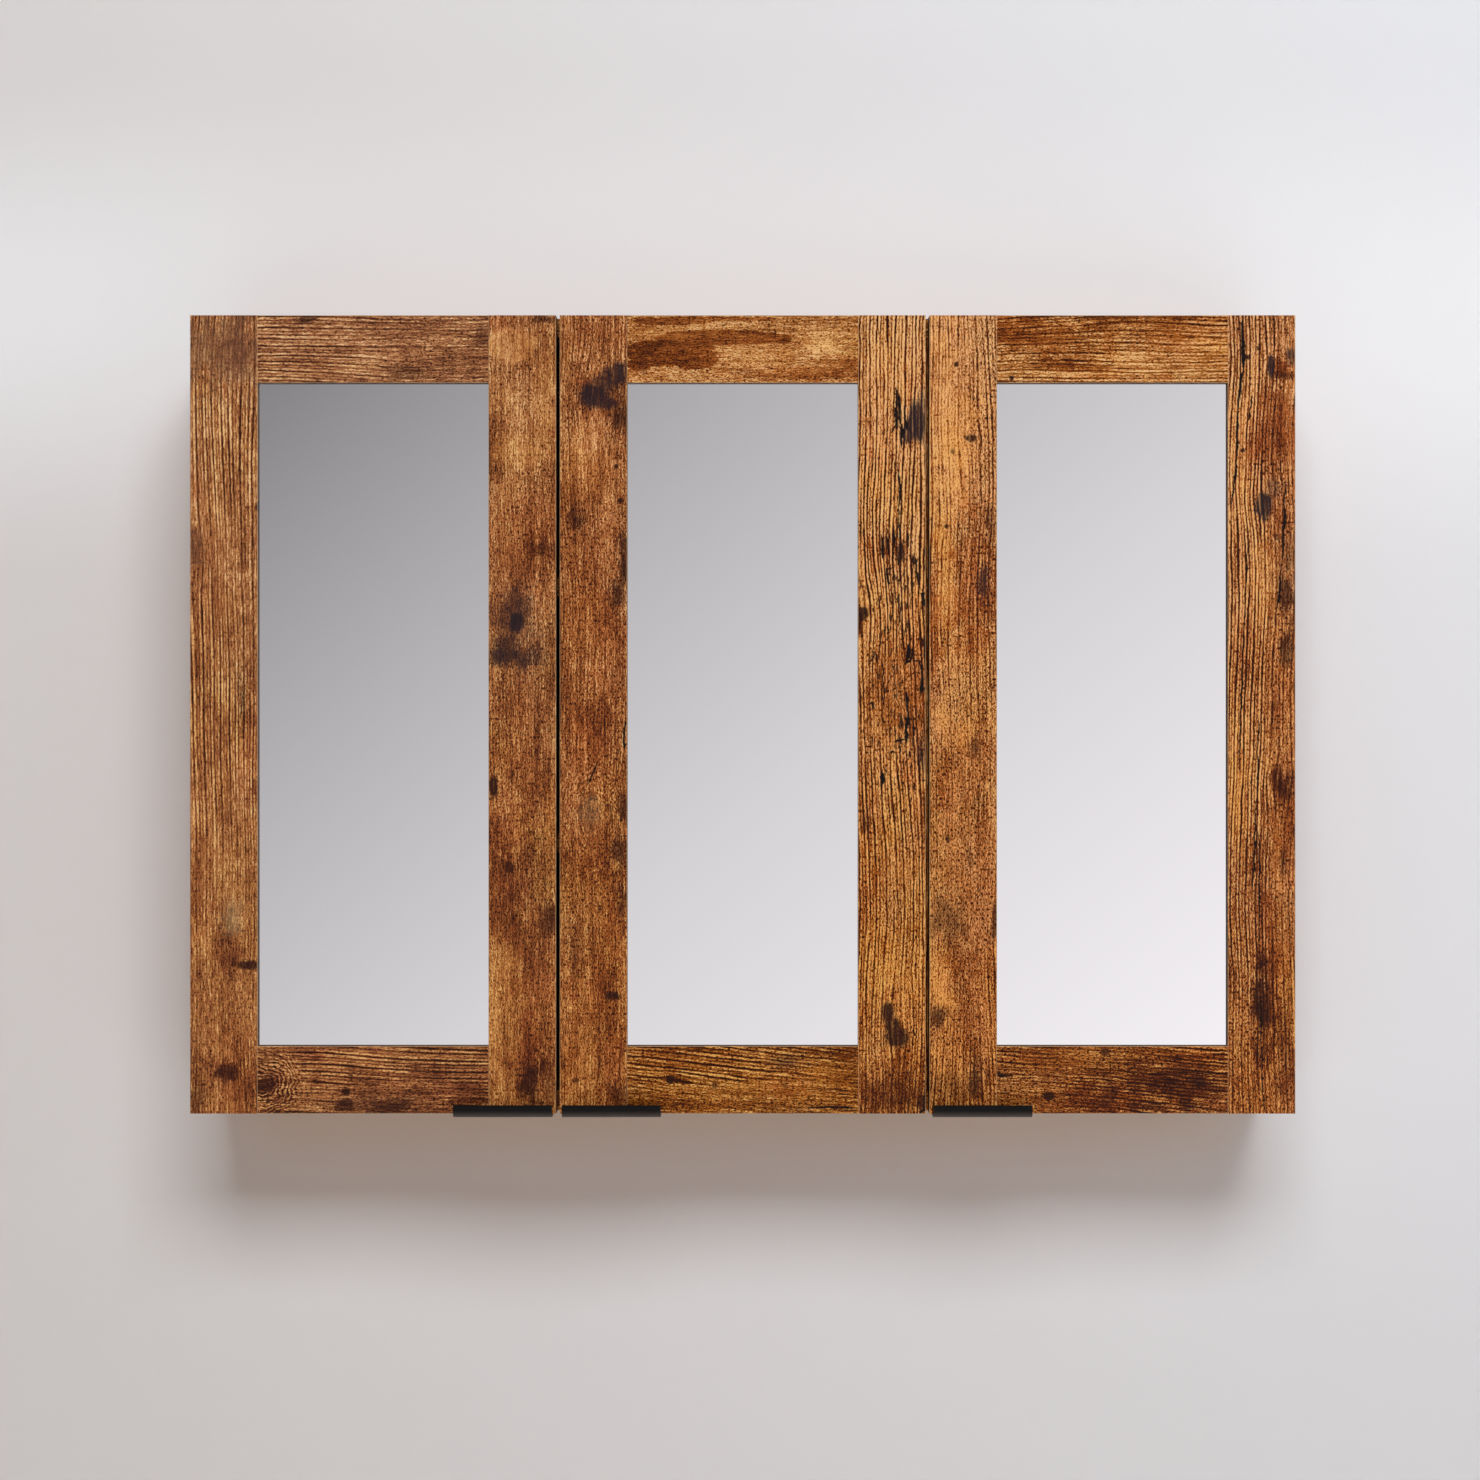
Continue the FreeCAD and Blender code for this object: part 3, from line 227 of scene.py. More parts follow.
            (-58, 294, 39, 11, 1.9), (-41, 291, 21, 10, 1.9), (-17, 307, 54, 6, 1.4), (32, 306, 8, 4, 1.4),
            (-35, 322, 60, 2, 1.2), (-58, 320, 36, 3, 1.2), (-84, 285, 11, 5, 1.9),
        ),
        "gold": (
            (14, 297, 24, 8, 0.6), (56, 303, 15, 8, 0.6), (35, 293, 54, 10, 0.35), (-71, 310, 20, 4, 0.7),
            (-35, 315, 49, 2, 0.5), (78, 307, 21, 8, 0.3),
        ),
        "stain": (
            (-76, 278, 23, 6, 0.6), (86, 278, 13, 6, 0.6), (38, 278, 65, 5, 0.8), (81, 286, 20, 5, 0.8),
        ),
        "smudge": ((-80, 284, 3, 7, 0.5), (2, 279, 8, 2, 0.4)),
    },
    "right_door_top_rail": {
        "plain": ((299, 308, 114, 20, 0.5),),
        "stain": (
            (242, 311, 49, 15, 1.4), (348, 307, 24, 13, 0.5), (263, 285, 13, 7, 0.6),
            (311, 321, 39, 5, 0.8),
        ),
        "knot": ((219, 274, 2, 2, 1),),
        "gold": (
            (301, 307, 8, 5, 0.4), (372, 292, 24, 18, 0.6), (299, 279, 98, 4, 0.6), (319, 287, 29, 8, 0.5),
        ),
        "smudge": ((291, 324, 49, 2, 0.5),),
    },
    "left_door_bottom_rail": {
        "plain": ((-279, -311, 73, 16, 1), (-388, -302, 7, 7, 1)),
        "stain": (
            (-388, -302, 13, 13, 1), (-352, -276, 11, 7, 0.9), (-226, -307, 29, 15, 0.8),
            (-263, -298, 49, 8, 0.4),
        ),
        "smudge": ((-389, -302, 9, 10, 0.6), (-287, -319, 28, 7, 0.7)),
        "knot": ((-323, -307, 4, 3, 1), (-324, -318, 8, 5, 0.9)),
        "gold": ((-369, -294, 7, 11, 0.4), (-279, -276, 49, 4, 0.3)),
    },
    "middle_door_bottom_rail": {
        "plain": ((-1, -314, 122, 15, 1), (83, -283, 28, 11, 0.9)),
        "knot": ((-59, -298, 3, 4, 0.95), (-23, -302, 2, 3, 0.6)),
        "smudge": ((35, -283, 12, 5, 0.7), (34, -301, 3, 3, 0.5)),
        "gold": ((38, -307, 46, 8, 0.4), (73, -296, 21, 10, 0.6)),
        "stain": ((-43, -281, 36, 10, 0.5), (87, -275, 11, 7, 0.7), (34, -308, 13, 5, 0.5)),
    },
    "right_door_bottom_rail": {
        "plain": ((234, -314, 49, 13, 0.9), (291, -281, 57, 13, 0.8)),
        "knot": ((249, -311, 5, 4, 1), (295, -275, 4, 4, 0.7)),
        "smudge": (
            (369, -299, 16, 5, 0.95), (345, -298, 28, 14, 0.6), (366, -319, 11, 6, 0.85),
            (297, -307, 8, 11, 0.5), (332, -319, 13, 6, 0.6), (360, -307, 24, 8, 0.4),
            (382, -302, 11, 13, 0.5),
        ),
        "stain": (
            (299, -314, 37, 11, 1.3), (360, -299, 41, 20, 1.2), (368, -283, 33, 10, 0.8),
            (234, -281, 33, 11, 0.4),
        ),
        "gold": ((258, -281, 33, 7, 0.6), (299, -274, 65, 5, 0.4), (244, -276, 16, 7, 0.7)),
    },
}

# Cracks: x and z of both ends, and width
CRACKS = {
    "left_door_hinge_stile": ((-406, 20, -408, 0, 0.7),),
    "middle_door_pull_stile": ((-119, -39, -126, -57, 1.0), (-96, -6, -97, -27, 1.6)),
    "middle_door_hinge_stile": (
        (125, 267, 125, 247, 1.2), (124, 250, 126, 233, 2.4), (127, 261, 128, 237, 2.1),
        (132, 253, 133, 233, 1.8), (125, 236, 121, 229, 1.3), (129, 237, 129, 218, 1.8),
        (127, 215, 128, 126, 1.1), (113, 148, 114, 127, 1.3), (117, 147, 119, 131, 1.1),
        (123, 152, 123, 136, 1.3), (135, 147, 135, 136, 1.5), (141, 126, 143, 106, 1.5),
        (117, 119, 119, 105, 2.0), (143, 100, 149, 98, 1.1), (146, 99, 148, 88, 1.8),
        (135, 56, 133, 42, 2.0), (138, 53, 137, 43, 1.5), (132, 41, 137, 44, 1.5), (139, 44, 144, 43, 1.3),
        (144, 44, 147, 31, 1.6), (147, 33, 145, 17, 2.4), (114, 42, 115, 13, 1.1), (109, 49, 109, 42, 1.2),
        (106, 48, 106, 43, 1.1), (133, 18, 135, 0, 2.0), (135, 2, 132, -15, 1.8), (133, -13, 134, -23, 2.4),
        (139, -2, 139, -20, 1.3), (128, -26, 129, -31, 1.3), (120, -30, 124, -30, 1.6),
        (105, 10, 106, 4, 1.3), (123, -22, 133, -20, 1.5), (113, -47, 113, -58, 1.5),
        (122, 44, 125, 20, 0.8), (139, -257, 141, -262, 1.3), (150, -319, 144, -324, 1.6),
    ),
    "right_door_hinge_stile": (
        (407, 320, 407, 281, 2.3), (407, 281, 403, 248, 1.8), (403, 248, 402, 207, 1.6),
        (402, 207, 398, 168, 1.6), (412, 146, 407, 44, 0.8), (407, 44, 404, -45, 1.0),
        (442, 191, 439, 126, 1.3), (439, 126, 435, 83, 1.1), (420, -1, 419, -70, 1.0),
        (418, -70, 415, -143, 1.0), (420, -94, 421, -200, 1.0), (421, -200, 424, -324, 1.0),
        (415, 260, 412, 240, 1.1),
    ),
    "middle_door_bottom_rail": ((53, -320, 71, -320, 1.0), (68, -320, 94, -320, 1.1)),
    "right_door_bottom_rail": ((207, -294, 219, -294, 1.5), (356, -291, 390, -293, 0.8)),
}

# Places that the grain lines bend round: x, z, half width, half height, and push in mm
BENDS = {
    "left_door_hinge_stile": ((-453, 126, 33, 90, 16), (-452, 129, 11, 21, 6)),
    "middle_door_pull_stile": ((-111, 258, 24, 28, 12), (-116, -70, 24, 33, -8)),
    "middle_door_hinge_stile": ((97, 83, 16, 33, 10), (126, -257, 13, 21, 6)),
    "right_door_hinge_stile": ((440, -56, 16, 21, 8), (426, 176, 13, 21, 5)),
    "right_door_pull_stile": ((186, 225, 8, 10, 3),),
    "middle_door_bottom_rail": ((-59, -298, 11, 7, 4),),
    "left_door_top_rail": ((-277, 297, 24, 13, 5),),
    "right_door_bottom_rail": ((249, -311, 13, 8, 5),),
}

# Knots whose rings show: x, z, half width, half height
RINGS = {
    "left_door_bottom_rail": ((-391, -302, 37, 33),),
    "middle_door_pull_stile": ((-123, -88, 36, 60),),
}

# Kinds of mark: the layer that each adds to, how soft its edge is, and how far noise tears, streaks and
# speckles that edge
MarkKind = namedtuple("MarkKind", "layer softness torn streaked speckled")
MARK_KINDS = {
    "knot": MarkKind("Dark", 0.35, 0.18, 0.15, 0.12),
    "smudge": MarkKind("Dark", 0.65, 0.45, 0.35, 0.45),
    "stain": MarkKind("Stain", 0.65, 0.5, 0.35, 0.4),
    "soot": MarkKind("Soot", 0.45, 0.35, 0.35, 0.4),
    "eye": MarkKind("Soot", 0.28, 0.14, 0.22, 0.15),
    "spill": MarkKind("Stain", 0.05, 0.12, 0.02, 0.04),
    "gold": MarkKind("Gold", 0.8, 0.5, 0.2, 0.2),
    "worn": MarkKind("Gold", 0.12, 0.15, 0.05, 0.12),
    "pale": MarkKind("Pale", 0.7, 0.5, 0.2, 0.3),
    "ash": MarkKind("Ash", 0.5, 0.5, 0.2, 0.3),
    "checks": MarkKind("Checks", 0.8, 0.4, 0.2, 0.0),
    "plain": MarkKind("Plain", 0.6, 0.4, 0.1, 0.1),
}

# Noises of a board: size of their grains across, through and along the board in mm, detail and roughness
BOARD_NOISES = {
    "Wander": ((110, 110, 260), 1.0, 0.5),
    "Wobble": ((7, 7, 40), 1.0, 0.5),
    "Ragged": ((9, 9, 14), 3.0, 0.6),
    "Streak": ((1.9, 1.9, 34), 2.0, 0.5),
    "Mottle": ((21, 21, 52), 3.0, 0.6),
    "Bands": ((5, 5, 150), 2.0, 0.6),
    "Red": ((48, 48, 95), 3.0, 0.5),
    "Fibre": ((1.2, 1.2, 9), 2.0, 0.6),
    "Speckle": ((1.0, 1.0, 2.5), 2.0, 0.6),
    "Pores": ((1.7, 1.7, 9), 3.0, 0.65),
    "Amount": ((34, 34, 80), 2.0, 0.5),
}

# Grain lines
WANDER = 5.0  # mm that the lines wander from straight
COARSE_TURNS = 0.62  # turns of a second, coarser set of lines for each turn of the first
COARSE_WOBBLE = 1.7  # how much more the coarser lines wobble
FINE_LINES = 0.75  # strength of the first set
COARSE_LINES = 0.55  # strength of the second set
LINE_SKEW = 0.35  # makes the dark lines narrower than the light wood between them
LINE_PRESENCE = 0.85  # how much of the lines shows
PRESENCE_SWING = 0.35  # how far that swings from place to place
WOBBLE_BREAKS = 0.2  # how far wobbly lines are broken up everywhere
PORE_BREAKS = 0.5  # how far they are broken up at the pores
PLAIN_FADE = 0.85  # how far a plain mark takes the lines away
PLAIN_GRIT = 0.25  # speckle that it adds

# What noises and marks add to the texture, tone, red, yellow and relief of the print
TEXTURE_SHARES = {"Lines": 0.35, "Fibre": 0.23, "Grains": 0.4, "Dots": -0.62}
CALM_SHARES = {"Gold": 0.45, "Stain": 0.2}
TONE_SHARES = {"Lightness": 1.0, "Mottle": 0.16, "Bands": 0.11, "Gold": 0.19, "Stain": -0.2}
BLUSH_SHARES = {"Redness": 1.0, "Red": 0.2, "Stain": 0.4, "Warmth": 0.25, "Dark": 0.5}
YELLOW_SHARES = {"Warmth": 1.0, "Gold": 0.4, "Stain": -0.35}
RELIEF_SHARES = {"Fibre": 0.5, "Speckle": 0.5}
BASE_TONE = 0.566
BASE_YELLOW = 0.45
DOT_LEVELS = (0.35, 0.9)  # speckle at which a dark dot begins and is whole
BLUSH_TINT = (1.0, 0.76, 0.66, 1.0)
YELLOW_TINT = (1.0, 0.97, 0.66, 1.0)
# Colours of the print by its tone, as they look on a screen
PRINT_TONES = {
    0.0: (42, 18, 9), 0.22: (86, 41, 18), 0.45: (137, 75, 34), 0.65: (174, 107, 54),
    0.85: (212, 150, 89), 1.0: (242, 198, 141),
}
# Layers over the print, in their order: how far each hides it, and the layer's colour
COVERS = {
    "Ash": (0.4, (98, 72, 56)),
    "Pale": (0.4, (160, 142, 104)),
    "Dark": (0.95, (38, 16, 12)),
    "Soot": (0.95, (36, 27, 31)),
    "Crack": (1.0, (20, 13, 11)),
    # painted highlight: a pale line along the front bevels of the door boards
    "ArrisHighlight": (0.55, (216, 178, 132)),
    # painted shade: dark side faces in the gaps between the doors and round the mirror openings
    "EdgeShade": (0.75, (38, 23, 17)),
}
# Layers that noise thins and thickens: their level without it, and the noises' shares
STREAKED_COVERS = {
    "Dark": (1.05, {"Streak": 0.25, "Lines": -0.06}),
    "Soot": (0.95, {"Streak": 0.3, "Lines": -0.12, "Speckle": 0.15}),
}
WARMTH_SWING = 0.3  # how far the print's warmth swings from place to place
WARMER_DOWN = 0.0018  # how much warmer the print gets with each mm further down
GRIME_SHARES = {"Ragged": 0.5, "Mottle": 1.0}
GRIME_LEVELS = (0.4, 1.3)
GRIME = 0.7  # strength of the stains that noise spreads over every board
KNOT_SPECKLE = 0.6  # how far speckle frays the scattered knots
PORE_LEVEL = 1.0  # noise at which a pore opens
CHECKS_DROP = 0.75  # how far checks lower that level
PORE_EDGE = 0.25
PORE_DEPTH = 0.9
CRACK_CROOK = {"x": 0.9, "z": 1.2}  # mm that cracks are crooked
CRACK_FRAY = {"Ragged": 0.3, "Speckle": 0.3}
ARRIS = 0.45  # mm, width of the bevel along a board's front edges
ON_FACE = 0.05  # mm, how near to a face a point counts as on it
WOOD_ROUGHNESS = 0.52
WOOD_ROUGHNESS_SWING = 0.04
WOOD_RELIEF = 0.00012  # m
FAINT_SPECULAR = 0.15

# Finely mottled finishes by material slot: the finish's name, its two colours as they look on a screen,
# size of the grains along x, y and z in mm, roughness and its swing, metallic, and depth of the relief in m
Finish = namedtuple("Finish", "name base other size roughness swing metallic depth", defaults=(0.0, 0.0))
MOTTLED_FINISHES = {
    "backing_board": Finish(
        "brown_hardboard", (112, 76, 46), (88, 58, 34), (2, 2, 2), 0.6, 0.08, depth=0.0001),
    "back_board": Finish(
        "rear_hardboard", (120, 84, 52), (96, 64, 38), (2, 2, 2), 0.6, 0.08, depth=0.0001),
    "hinge_steel": Finish(
        "nickel_plate", (205, 204, 200), (186, 185, 182), (0.5, 6, 0.5), 0.28, 0.06, metallic=1.0),
    "screw_steel": Finish(
        "zinc_plate", (196, 194, 188), (168, 168, 166), (0.8, 0.8, 0.8), 0.34, 0.08, metallic=1.0),
    "cam_zinc": Finish(
        "cast_zinc", (176, 176, 178), (150, 150, 154), (0.7, 0.7, 0.7), 0.45, 0.1, 1.0, 0.00005),
    "beech_dowel": Finish("bare_beech", (206, 170, 126), (184, 144, 100), (5, 0.7, 0.7), 0.65, 0.06),
    "clear_bumper": Finish("clear_bumper", (226, 226, 222), (212, 213, 210), (1.5, 1.5, 1.5), 0.3, 0.06),
}
BUMPER_TRANSMISSION = 0.5
MIRROR_COLOUR = (0.94, 0.94, 0.942, 1.0)
HAZE_SIZE = (60, 60, 60)  # mm
HAZE = 0.01  # about the most roughness that the haze adds
PULL_BLACK = (11, 10, 10)
# painted light: the grey of the sheen painted on the pull's lower bend
PULL_SHEEN_GREY = (92, 82, 75)
PULL_GRAINS = (0.8, 0.8, 0.8)  # mm
PULL_SHEEN_HEIGHT = 6.5  # mm, height above the pull's lower edge up to which a painted sheen greys the coat
PULL_SHEEN_STRENGTH = 0.8
PULL_MOTTLE = 0.06
PULL_ROUGHNESS = 0.4
PULL_ROUGHNESS_SWING = 0.05
PULL_RELIEF = 0.00003  # m


def linear(red, green, blue):
    """A colour given as it looks on a screen, 0 to 255, in linear values, by the sRGB curve."""
    shares = [level / 255 for level in (red, green, blue)]
    return tuple(s / 12.92 if s <= 0.04045 else ((s + 0.055) / 1.055) ** 2.4 for s in shares) + (1.0,)


# Node helpers

class Signal:
    """A value that varies over a surface; arithmetic on signals adds Math nodes to their tree."""

    def __init__(self, tree, socket):
        self.tree = tree
        self.socket = socket

    def math(self, operation, *others, clamp=False):
        node = self.tree.nodes.new("ShaderNodeMath")
        node.operation = operation
        node.use_clamp = clamp
        for socket, item in zip(node.inputs, (self, *others)):
            feed(self.tree, socket, item)
        return Signal(self.tree, node.outputs[0])

    def __add__(self, other):
        return self.math("ADD", other)

    def __sub__(self, other):
        return self.math("SUBTRACT", other)

    def __rsub__(self, other):
        return self.math("MULTIPLY_ADD", -1.0, other)

    def __mul__(self, other):
        return self.math("MULTIPLY", other)

    def __truediv__(self, other):
        return self.math("DIVIDE", other)

    def clamp(self):
        return self.math("ADD", 0.0, clamp=True)


def feed(tree, socket, item):
    """Link a signal or another node's socket to an input, or set a plain value on it."""
    if isinstance(item, Signal):
        item = item.socket
    if isinstance(item, bpy.types.NodeSocket):
        tree.links.new(item, socket)
    else:
        socket.default_value = item


def add(tree, kind, inputs=None, **settings):
    """A shader node with its settings made and its inputs fed."""
    node = tree.nodes.new("ShaderNode" + kind)
    for name, setting in settings.items():
        setattr(node, name, setting)
    for name, item in (inputs or {}).items():
        feed(tree, node.inputs[name], item)
    return node


def use_group(tree, group, **inputs):
    """A node group placed in a tree; its outputs as signals by name."""
    node = add(tree, "Group", inputs, node_tree=group)
    return {socket.name: Signal(tree, socket) for socket in node.outputs}


def vector_math(tree, operation, first, second=(0, 0, 0)):
    node = add(tree, "VectorMath", {0: first, 1: second}, operation=operation)
    return node.outputs["Vector"]


def vector_value(tree, operation, first, second=(0, 0, 0)):
    """A number worked out from vectors, such as a length."""
    node = add(tree, "VectorMath", {0: first, 1: second}, operation=operation)
    return Signal(tree, node.outputs["Value"])


def scale_vector(tree, vector, factor):
    return add(tree, "VectorMath", {0: vector, "Scale": factor}, operation="SCALE").outputs["Vector"]


def axis_signals(tree, place):
    """The x, y and z of a place, by the axis's letter."""
    parts = add(tree, "SeparateXYZ", {0: place})
    return {axis: Signal(tree, socket) for axis, socket in zip("xyz", parts.outputs)}


def weighted(signals, shares):
    """Signals added up, each times its share."""
    total = None
    for label, share in shares.items():
        part = signals[label] * share
        total = part if total is None else total + part
    return total


def largest(found, other):
    """The larger of two signals, where the first may still be missing."""
    return other if found is None else found.math("MAXIMUM", other)


def mix(tree, factor, first, second, blend="MIX"):
    """Two colours mixed by a factor."""
    node = add(tree, "Mix", {0: factor, 6: first, 7: second}, data_type="RGBA", blend_type=blend)
    return node.outputs[2]


def smooth_step(tree, level, start, end):
    """0 before start and 1 after end, smooth between; start may be the higher of the two."""
    node = add(tree, "MapRange", {0: level, 1: start, 2: end}, interpolation_type="SMOOTHSTEP")
    return Signal(tree, node.outputs[0])


def colour_ramp(tree, level, stops):
    """The colours of the stops, by their positions, along a level from 0 to 1."""
    ramp = add(tree, "ValToRGB", {0: level})
    elements = ramp.color_ramp.elements
    while len(elements) < len(stops):
        elements.new(0.5)
    for element, (position, colour) in zip(elements, stops.items()):
        element.position = position
        element.color = colour
    return ramp.outputs[0]


def noise(tree, place, grain_size, detail, roughness, stretch=6.0):
    """Noise stretched to about -1 to 1, with grains as large along each axis as grain_size says."""
    scaled = vector_math(tree, "DIVIDE", place, grain_size)
    node = add(tree, "TexNoise", {"Vector": scaled, "Scale": 1.0, "Detail": detail, "Roughness": roughness})
    return (Signal(tree, node.outputs[0]) - 0.5) * stretch


def new_group(name, inputs, outputs):
    """An empty node group; inputs and outputs are names with their socket types."""
    tree = bpy.data.node_groups.new(name, "ShaderNodeTree")
    for direction, sockets in (("INPUT", inputs), ("OUTPUT", outputs)):
        for label, kind in sockets.items():
            tree.interface.new_socket(label, in_out=direction, socket_type="NodeSocket" + kind)
    source = tree.nodes.new("NodeGroupInput")
    signals = {label: Signal(tree, source.outputs[label]) for label in inputs}
    return tree, signals, tree.nodes.new("NodeGroupOutput")


def give(tree, sink, **outputs):
    """Feed a node group's outputs."""
    for label, item in outputs.items():
        feed(tree, sink.inputs[label], item)


# Shared effects

MARK_AREA = {"Place": "Vector", "Middle": "Vector", "Half": "Vector"}


def from_middle(tree, given):
    """The place as seen from a mark's middle, in halves of the mark's size."""
    offset = vector_math(tree, "SUBTRACT", given["Place"], given["Middle"])
    return vector_math(tree, "DIVIDE", offset, given["Half"])


def board_noise_group():
    """Every noise that a board uses, from its own axes in mm: across, through and along the grain."""
    tree, given, sink = new_group("Board Noise", {"Grain": "Vector"}, dict.fromkeys(BOARD_NOISES, "Float"))
    for label, (grain_size, detail, roughness) in BOARD_NOISES.items():
        feed(tree, sink.inputs[label], noise(tree, given["Grain"], grain_size, detail, roughness))
    return tree


def grain_mark_group():
    """A blot with a frayed edge: 0 outside and its strength inside."""
    tree, given, sink = new_group(
        "Grain Mark", {**MARK_AREA, "Fray": "Float", "Softness": "Float", "Strength": "Float"},
        {"Mask": "Float"})
    reach = vector_value(tree, "LENGTH", from_middle(tree, given)) + given["Fray"]
    soft = given["Softness"]
    mask = smooth_step(tree, reach, soft + 1.0, 1.0 - soft)
    give(tree, sink, Mask=mask * given["Strength"])
    return tree


def grain_bend_group():
    """How far the grain lines are pushed aside round a knot, in mm."""
    tree, given, sink = new_group(
        "Grain Bend", {**MARK_AREA, "Across": "Vector", "Push": "Float"}, {"Shift": "Float"})
    offset = from_middle(tree, given)
    spread = vector_value(tree, "DOT_PRODUCT", offset, offset) * -1.0
    aside = vector_value(tree, "DOT_PRODUCT", offset, given["Across"])
    give(tree, sink, Shift=aside * spread.math("EXPONENT") * given["Push"] * -1.0)
    return tree


def ring_grain_group():
    """The rings of a knot: their radius in mm, and how far they take the place of the straight grain."""
    tree, given, sink = new_group(
        "Ring Grain", {**MARK_AREA, "Size": "Float", "Fray": "Float"}, {"Radius": "Float", "Mask": "Float"})
    ring_stray = 2.2  # mm that noise moves a ring
    rim_stray = 0.12
    rim_start, rim_end = 1.2, 0.6  # where rings begin to show and where they are whole, in halves
    reach = vector_value(tree, "LENGTH", from_middle(tree, given))
    radius = reach * given["Size"] + given["Fray"] * ring_stray
    mask = smooth_step(tree, reach + given["Fray"] * rim_stray, rim_start, rim_end)
    give(tree, sink, Radius=radius, Mask=mask)
    return tree


def crack_group():
    """A thin split from one place to another, tapered at its ends."""
    tree, given, sink = new_group(
        "Crack",
        {"Place": "Vector", "Start": "Vector", "End": "Vector", "Width": "Float", "Fray": "Float"},
        {"Mask": "Float"})
    taper = 0.7  # share of the width that is lost at the ends
    taper_power = 4.0
    core = 0.35  # share of the width that is wholly dark
    run = vector_math(tree, "SUBTRACT", given["End"], given["Start"])
    offset = vector_math(tree, "SUBTRACT", given["Place"], given["Start"])
    along = vector_value(tree, "DOT_PRODUCT", offset, run) / vector_value(tree, "DOT_PRODUCT", run, run)
    along = along.clamp()
    foot = scale_vector(tree, run, along)
    gap = vector_value(tree, "LENGTH", vector_math(tree, "SUBTRACT", offset, foot))
    from_centre = (along * 2.0 - 1.0).math("ABSOLUTE").math("POWER", taper_power)
    width = given["Width"] * (1.0 - from_centre * taper)
    give(tree, sink, Mask=smooth_step(tree, gap / width + given["Fray"], 1.0, core))
    return tree


def scattered_knots_group():
    """Knots here and there on a board whose marks aren't placed one by one."""
    tree, given, sink = new_group(
        "Scattered Knots", {"Grain": "Vector", "Fray": "Float"}, {"Mask": "Float"})
    cell = (75, 75, 150)  # mm, room for one knot
    size_swing, size_cut = 0.22, 0.06  # knots smaller than the cut are left out; shares of a cell
    least = 0.001
    fray = 0.035
    core = 0.4  # share of a knot that is wholly dark
    cells = vector_math(tree, "DIVIDE", given["Grain"], cell)
    spots = add(tree, "TexVoronoi", {"Vector": cells, "Scale": 1.0, "Randomness": 0.9})
    chance = add(tree, "SeparateColor", {0: spots.outputs["Color"]})
    size = (Signal(tree, chance.outputs[0]) * size_swing - size_cut).math("MAXIMUM", least)
    reach = Signal(tree, spots.outputs["Distance"]) + given["Fray"] * fray
    give(tree, sink, Mask=smooth_step(tree, reach, size, size * core))
    return tree


def rustic_colour_group():
    """Colour, roughness and height of the rustic wood print from its lines, noises and marks, with a painted
    highlight on the front bevels and painted shade on edge faces that look inwards.
    """
    numbers = (
        "Lines", "Fibre", "Speckle", "Grit", "Mottle", "Bands", "Red", "Streak", "Warmth", "Stain", "Gold",
        "Pale", "Ash", "Dark", "Soot", "Crack", "ArrisHighlight", "EdgeShade", "Lightness", "Redness", "Greyness")
    tree, given, sink = new_group(
        "Rustic Colour", dict.fromkeys(numbers, "Float"),
        {"Colour": "Color", "Roughness": "Float", "Height": "Float"})
    held = {label: given[label].clamp() for label in ("Gold", "Stain", "Dark")}
    given["Grains"] = given["Speckle"] * given["Grit"]
    given["Dots"] = smooth_step(tree, given["Speckle"], *DOT_LEVELS) * given["Grit"]
    texture = weighted(given, TEXTURE_SHARES) * (1.0 - weighted(held, CALM_SHARES))
    tone = weighted(given, TONE_SHARES) + texture + BASE_TONE
    colour = colour_ramp(tree, tone, {at: linear(*paint) for at, paint in PRINT_TONES.items()})
    blush = weighted({**given, **held}, BLUSH_SHARES).clamp()
    colour = mix(tree, blush, colour, BLUSH_TINT, "MULTIPLY")
    yellow = (weighted(given, YELLOW_SHARES) + BASE_YELLOW).clamp()
    colour = mix(tree, yellow, colour, YELLOW_TINT, "MULTIPLY")
    faded = add(tree, "HueSaturation", {"Saturation": 1.0 - given["Greyness"], "Color": colour})
    colour = faded.outputs[0]
    for label, (share, paint) in COVERS.items():
        cover = given[label]
        if label in STREAKED_COVERS:
            level, shares = STREAKED_COVERS[label]
            cover = (cover * (weighted(given, shares) + level)).clamp()
        colour = mix(tree, cover * share, colour, linear(*paint))
    roughness = given["Speckle"] * WOOD_ROUGHNESS_SWING + WOOD_ROUGHNESS
    give(tree, sink, Colour=colour, Roughness=roughness, Height=weighted(given, RELIEF_SHARES))
    return tree


def fine_mottle_group():
    """A fine even unevenness for glass, metal, plastic and fibre board, about -1 to 1."""
    tree, given, sink = new_group("Fine Mottle", {"Place": "Vector", "Size": "Vector"}, {"Level": "Float"})
    level = noise(tree, given["Place"], given["Size"], detail=3.0, roughness=0.6, stretch=4.0)
    give(tree, sink, Level=level)
    return tree


BOARD_NOISE = board_noise_group()
GRAIN_MARK = grain_mark_group()
GRAIN_BEND = grain_bend_group()
RING_GRAIN = ring_grain_group()
CRACK = crack_group()
SCATTERED_KNOTS = scattered_knots_group()
RUSTIC_COLOUR = rustic_colour_group()
FINE_MOTTLE = fine_mottle_group()


# Materials

def new_material(name):
    """A material with its tree and shader, and the place on the surface in mm."""
    material = bpy.data.materials.new(name)
    material.use_nodes = True
    tree = material.node_tree
    place = scale_vector(tree, add(tree, "TexCoord").outputs["Object"], MM)
    return material, tree, tree.nodes["Principled BSDF"], place


def bump(tree, shader, height, depth):
    """Relief on the shader's normal; depth is in metres."""
    node = add(tree, "Bump", {"Height": height, "Distance": depth, "Strength": 1.0})
    feed(tree, shader.inputs["Normal"], node.outputs[0])


# A board while its material is made: its node if it is a door board, the axes that run across, through and
# along it, the place by x, y and z, the flat place seen from the front, and its noises
Board = namedtuple("Board", "tree node axes sides flat noises")


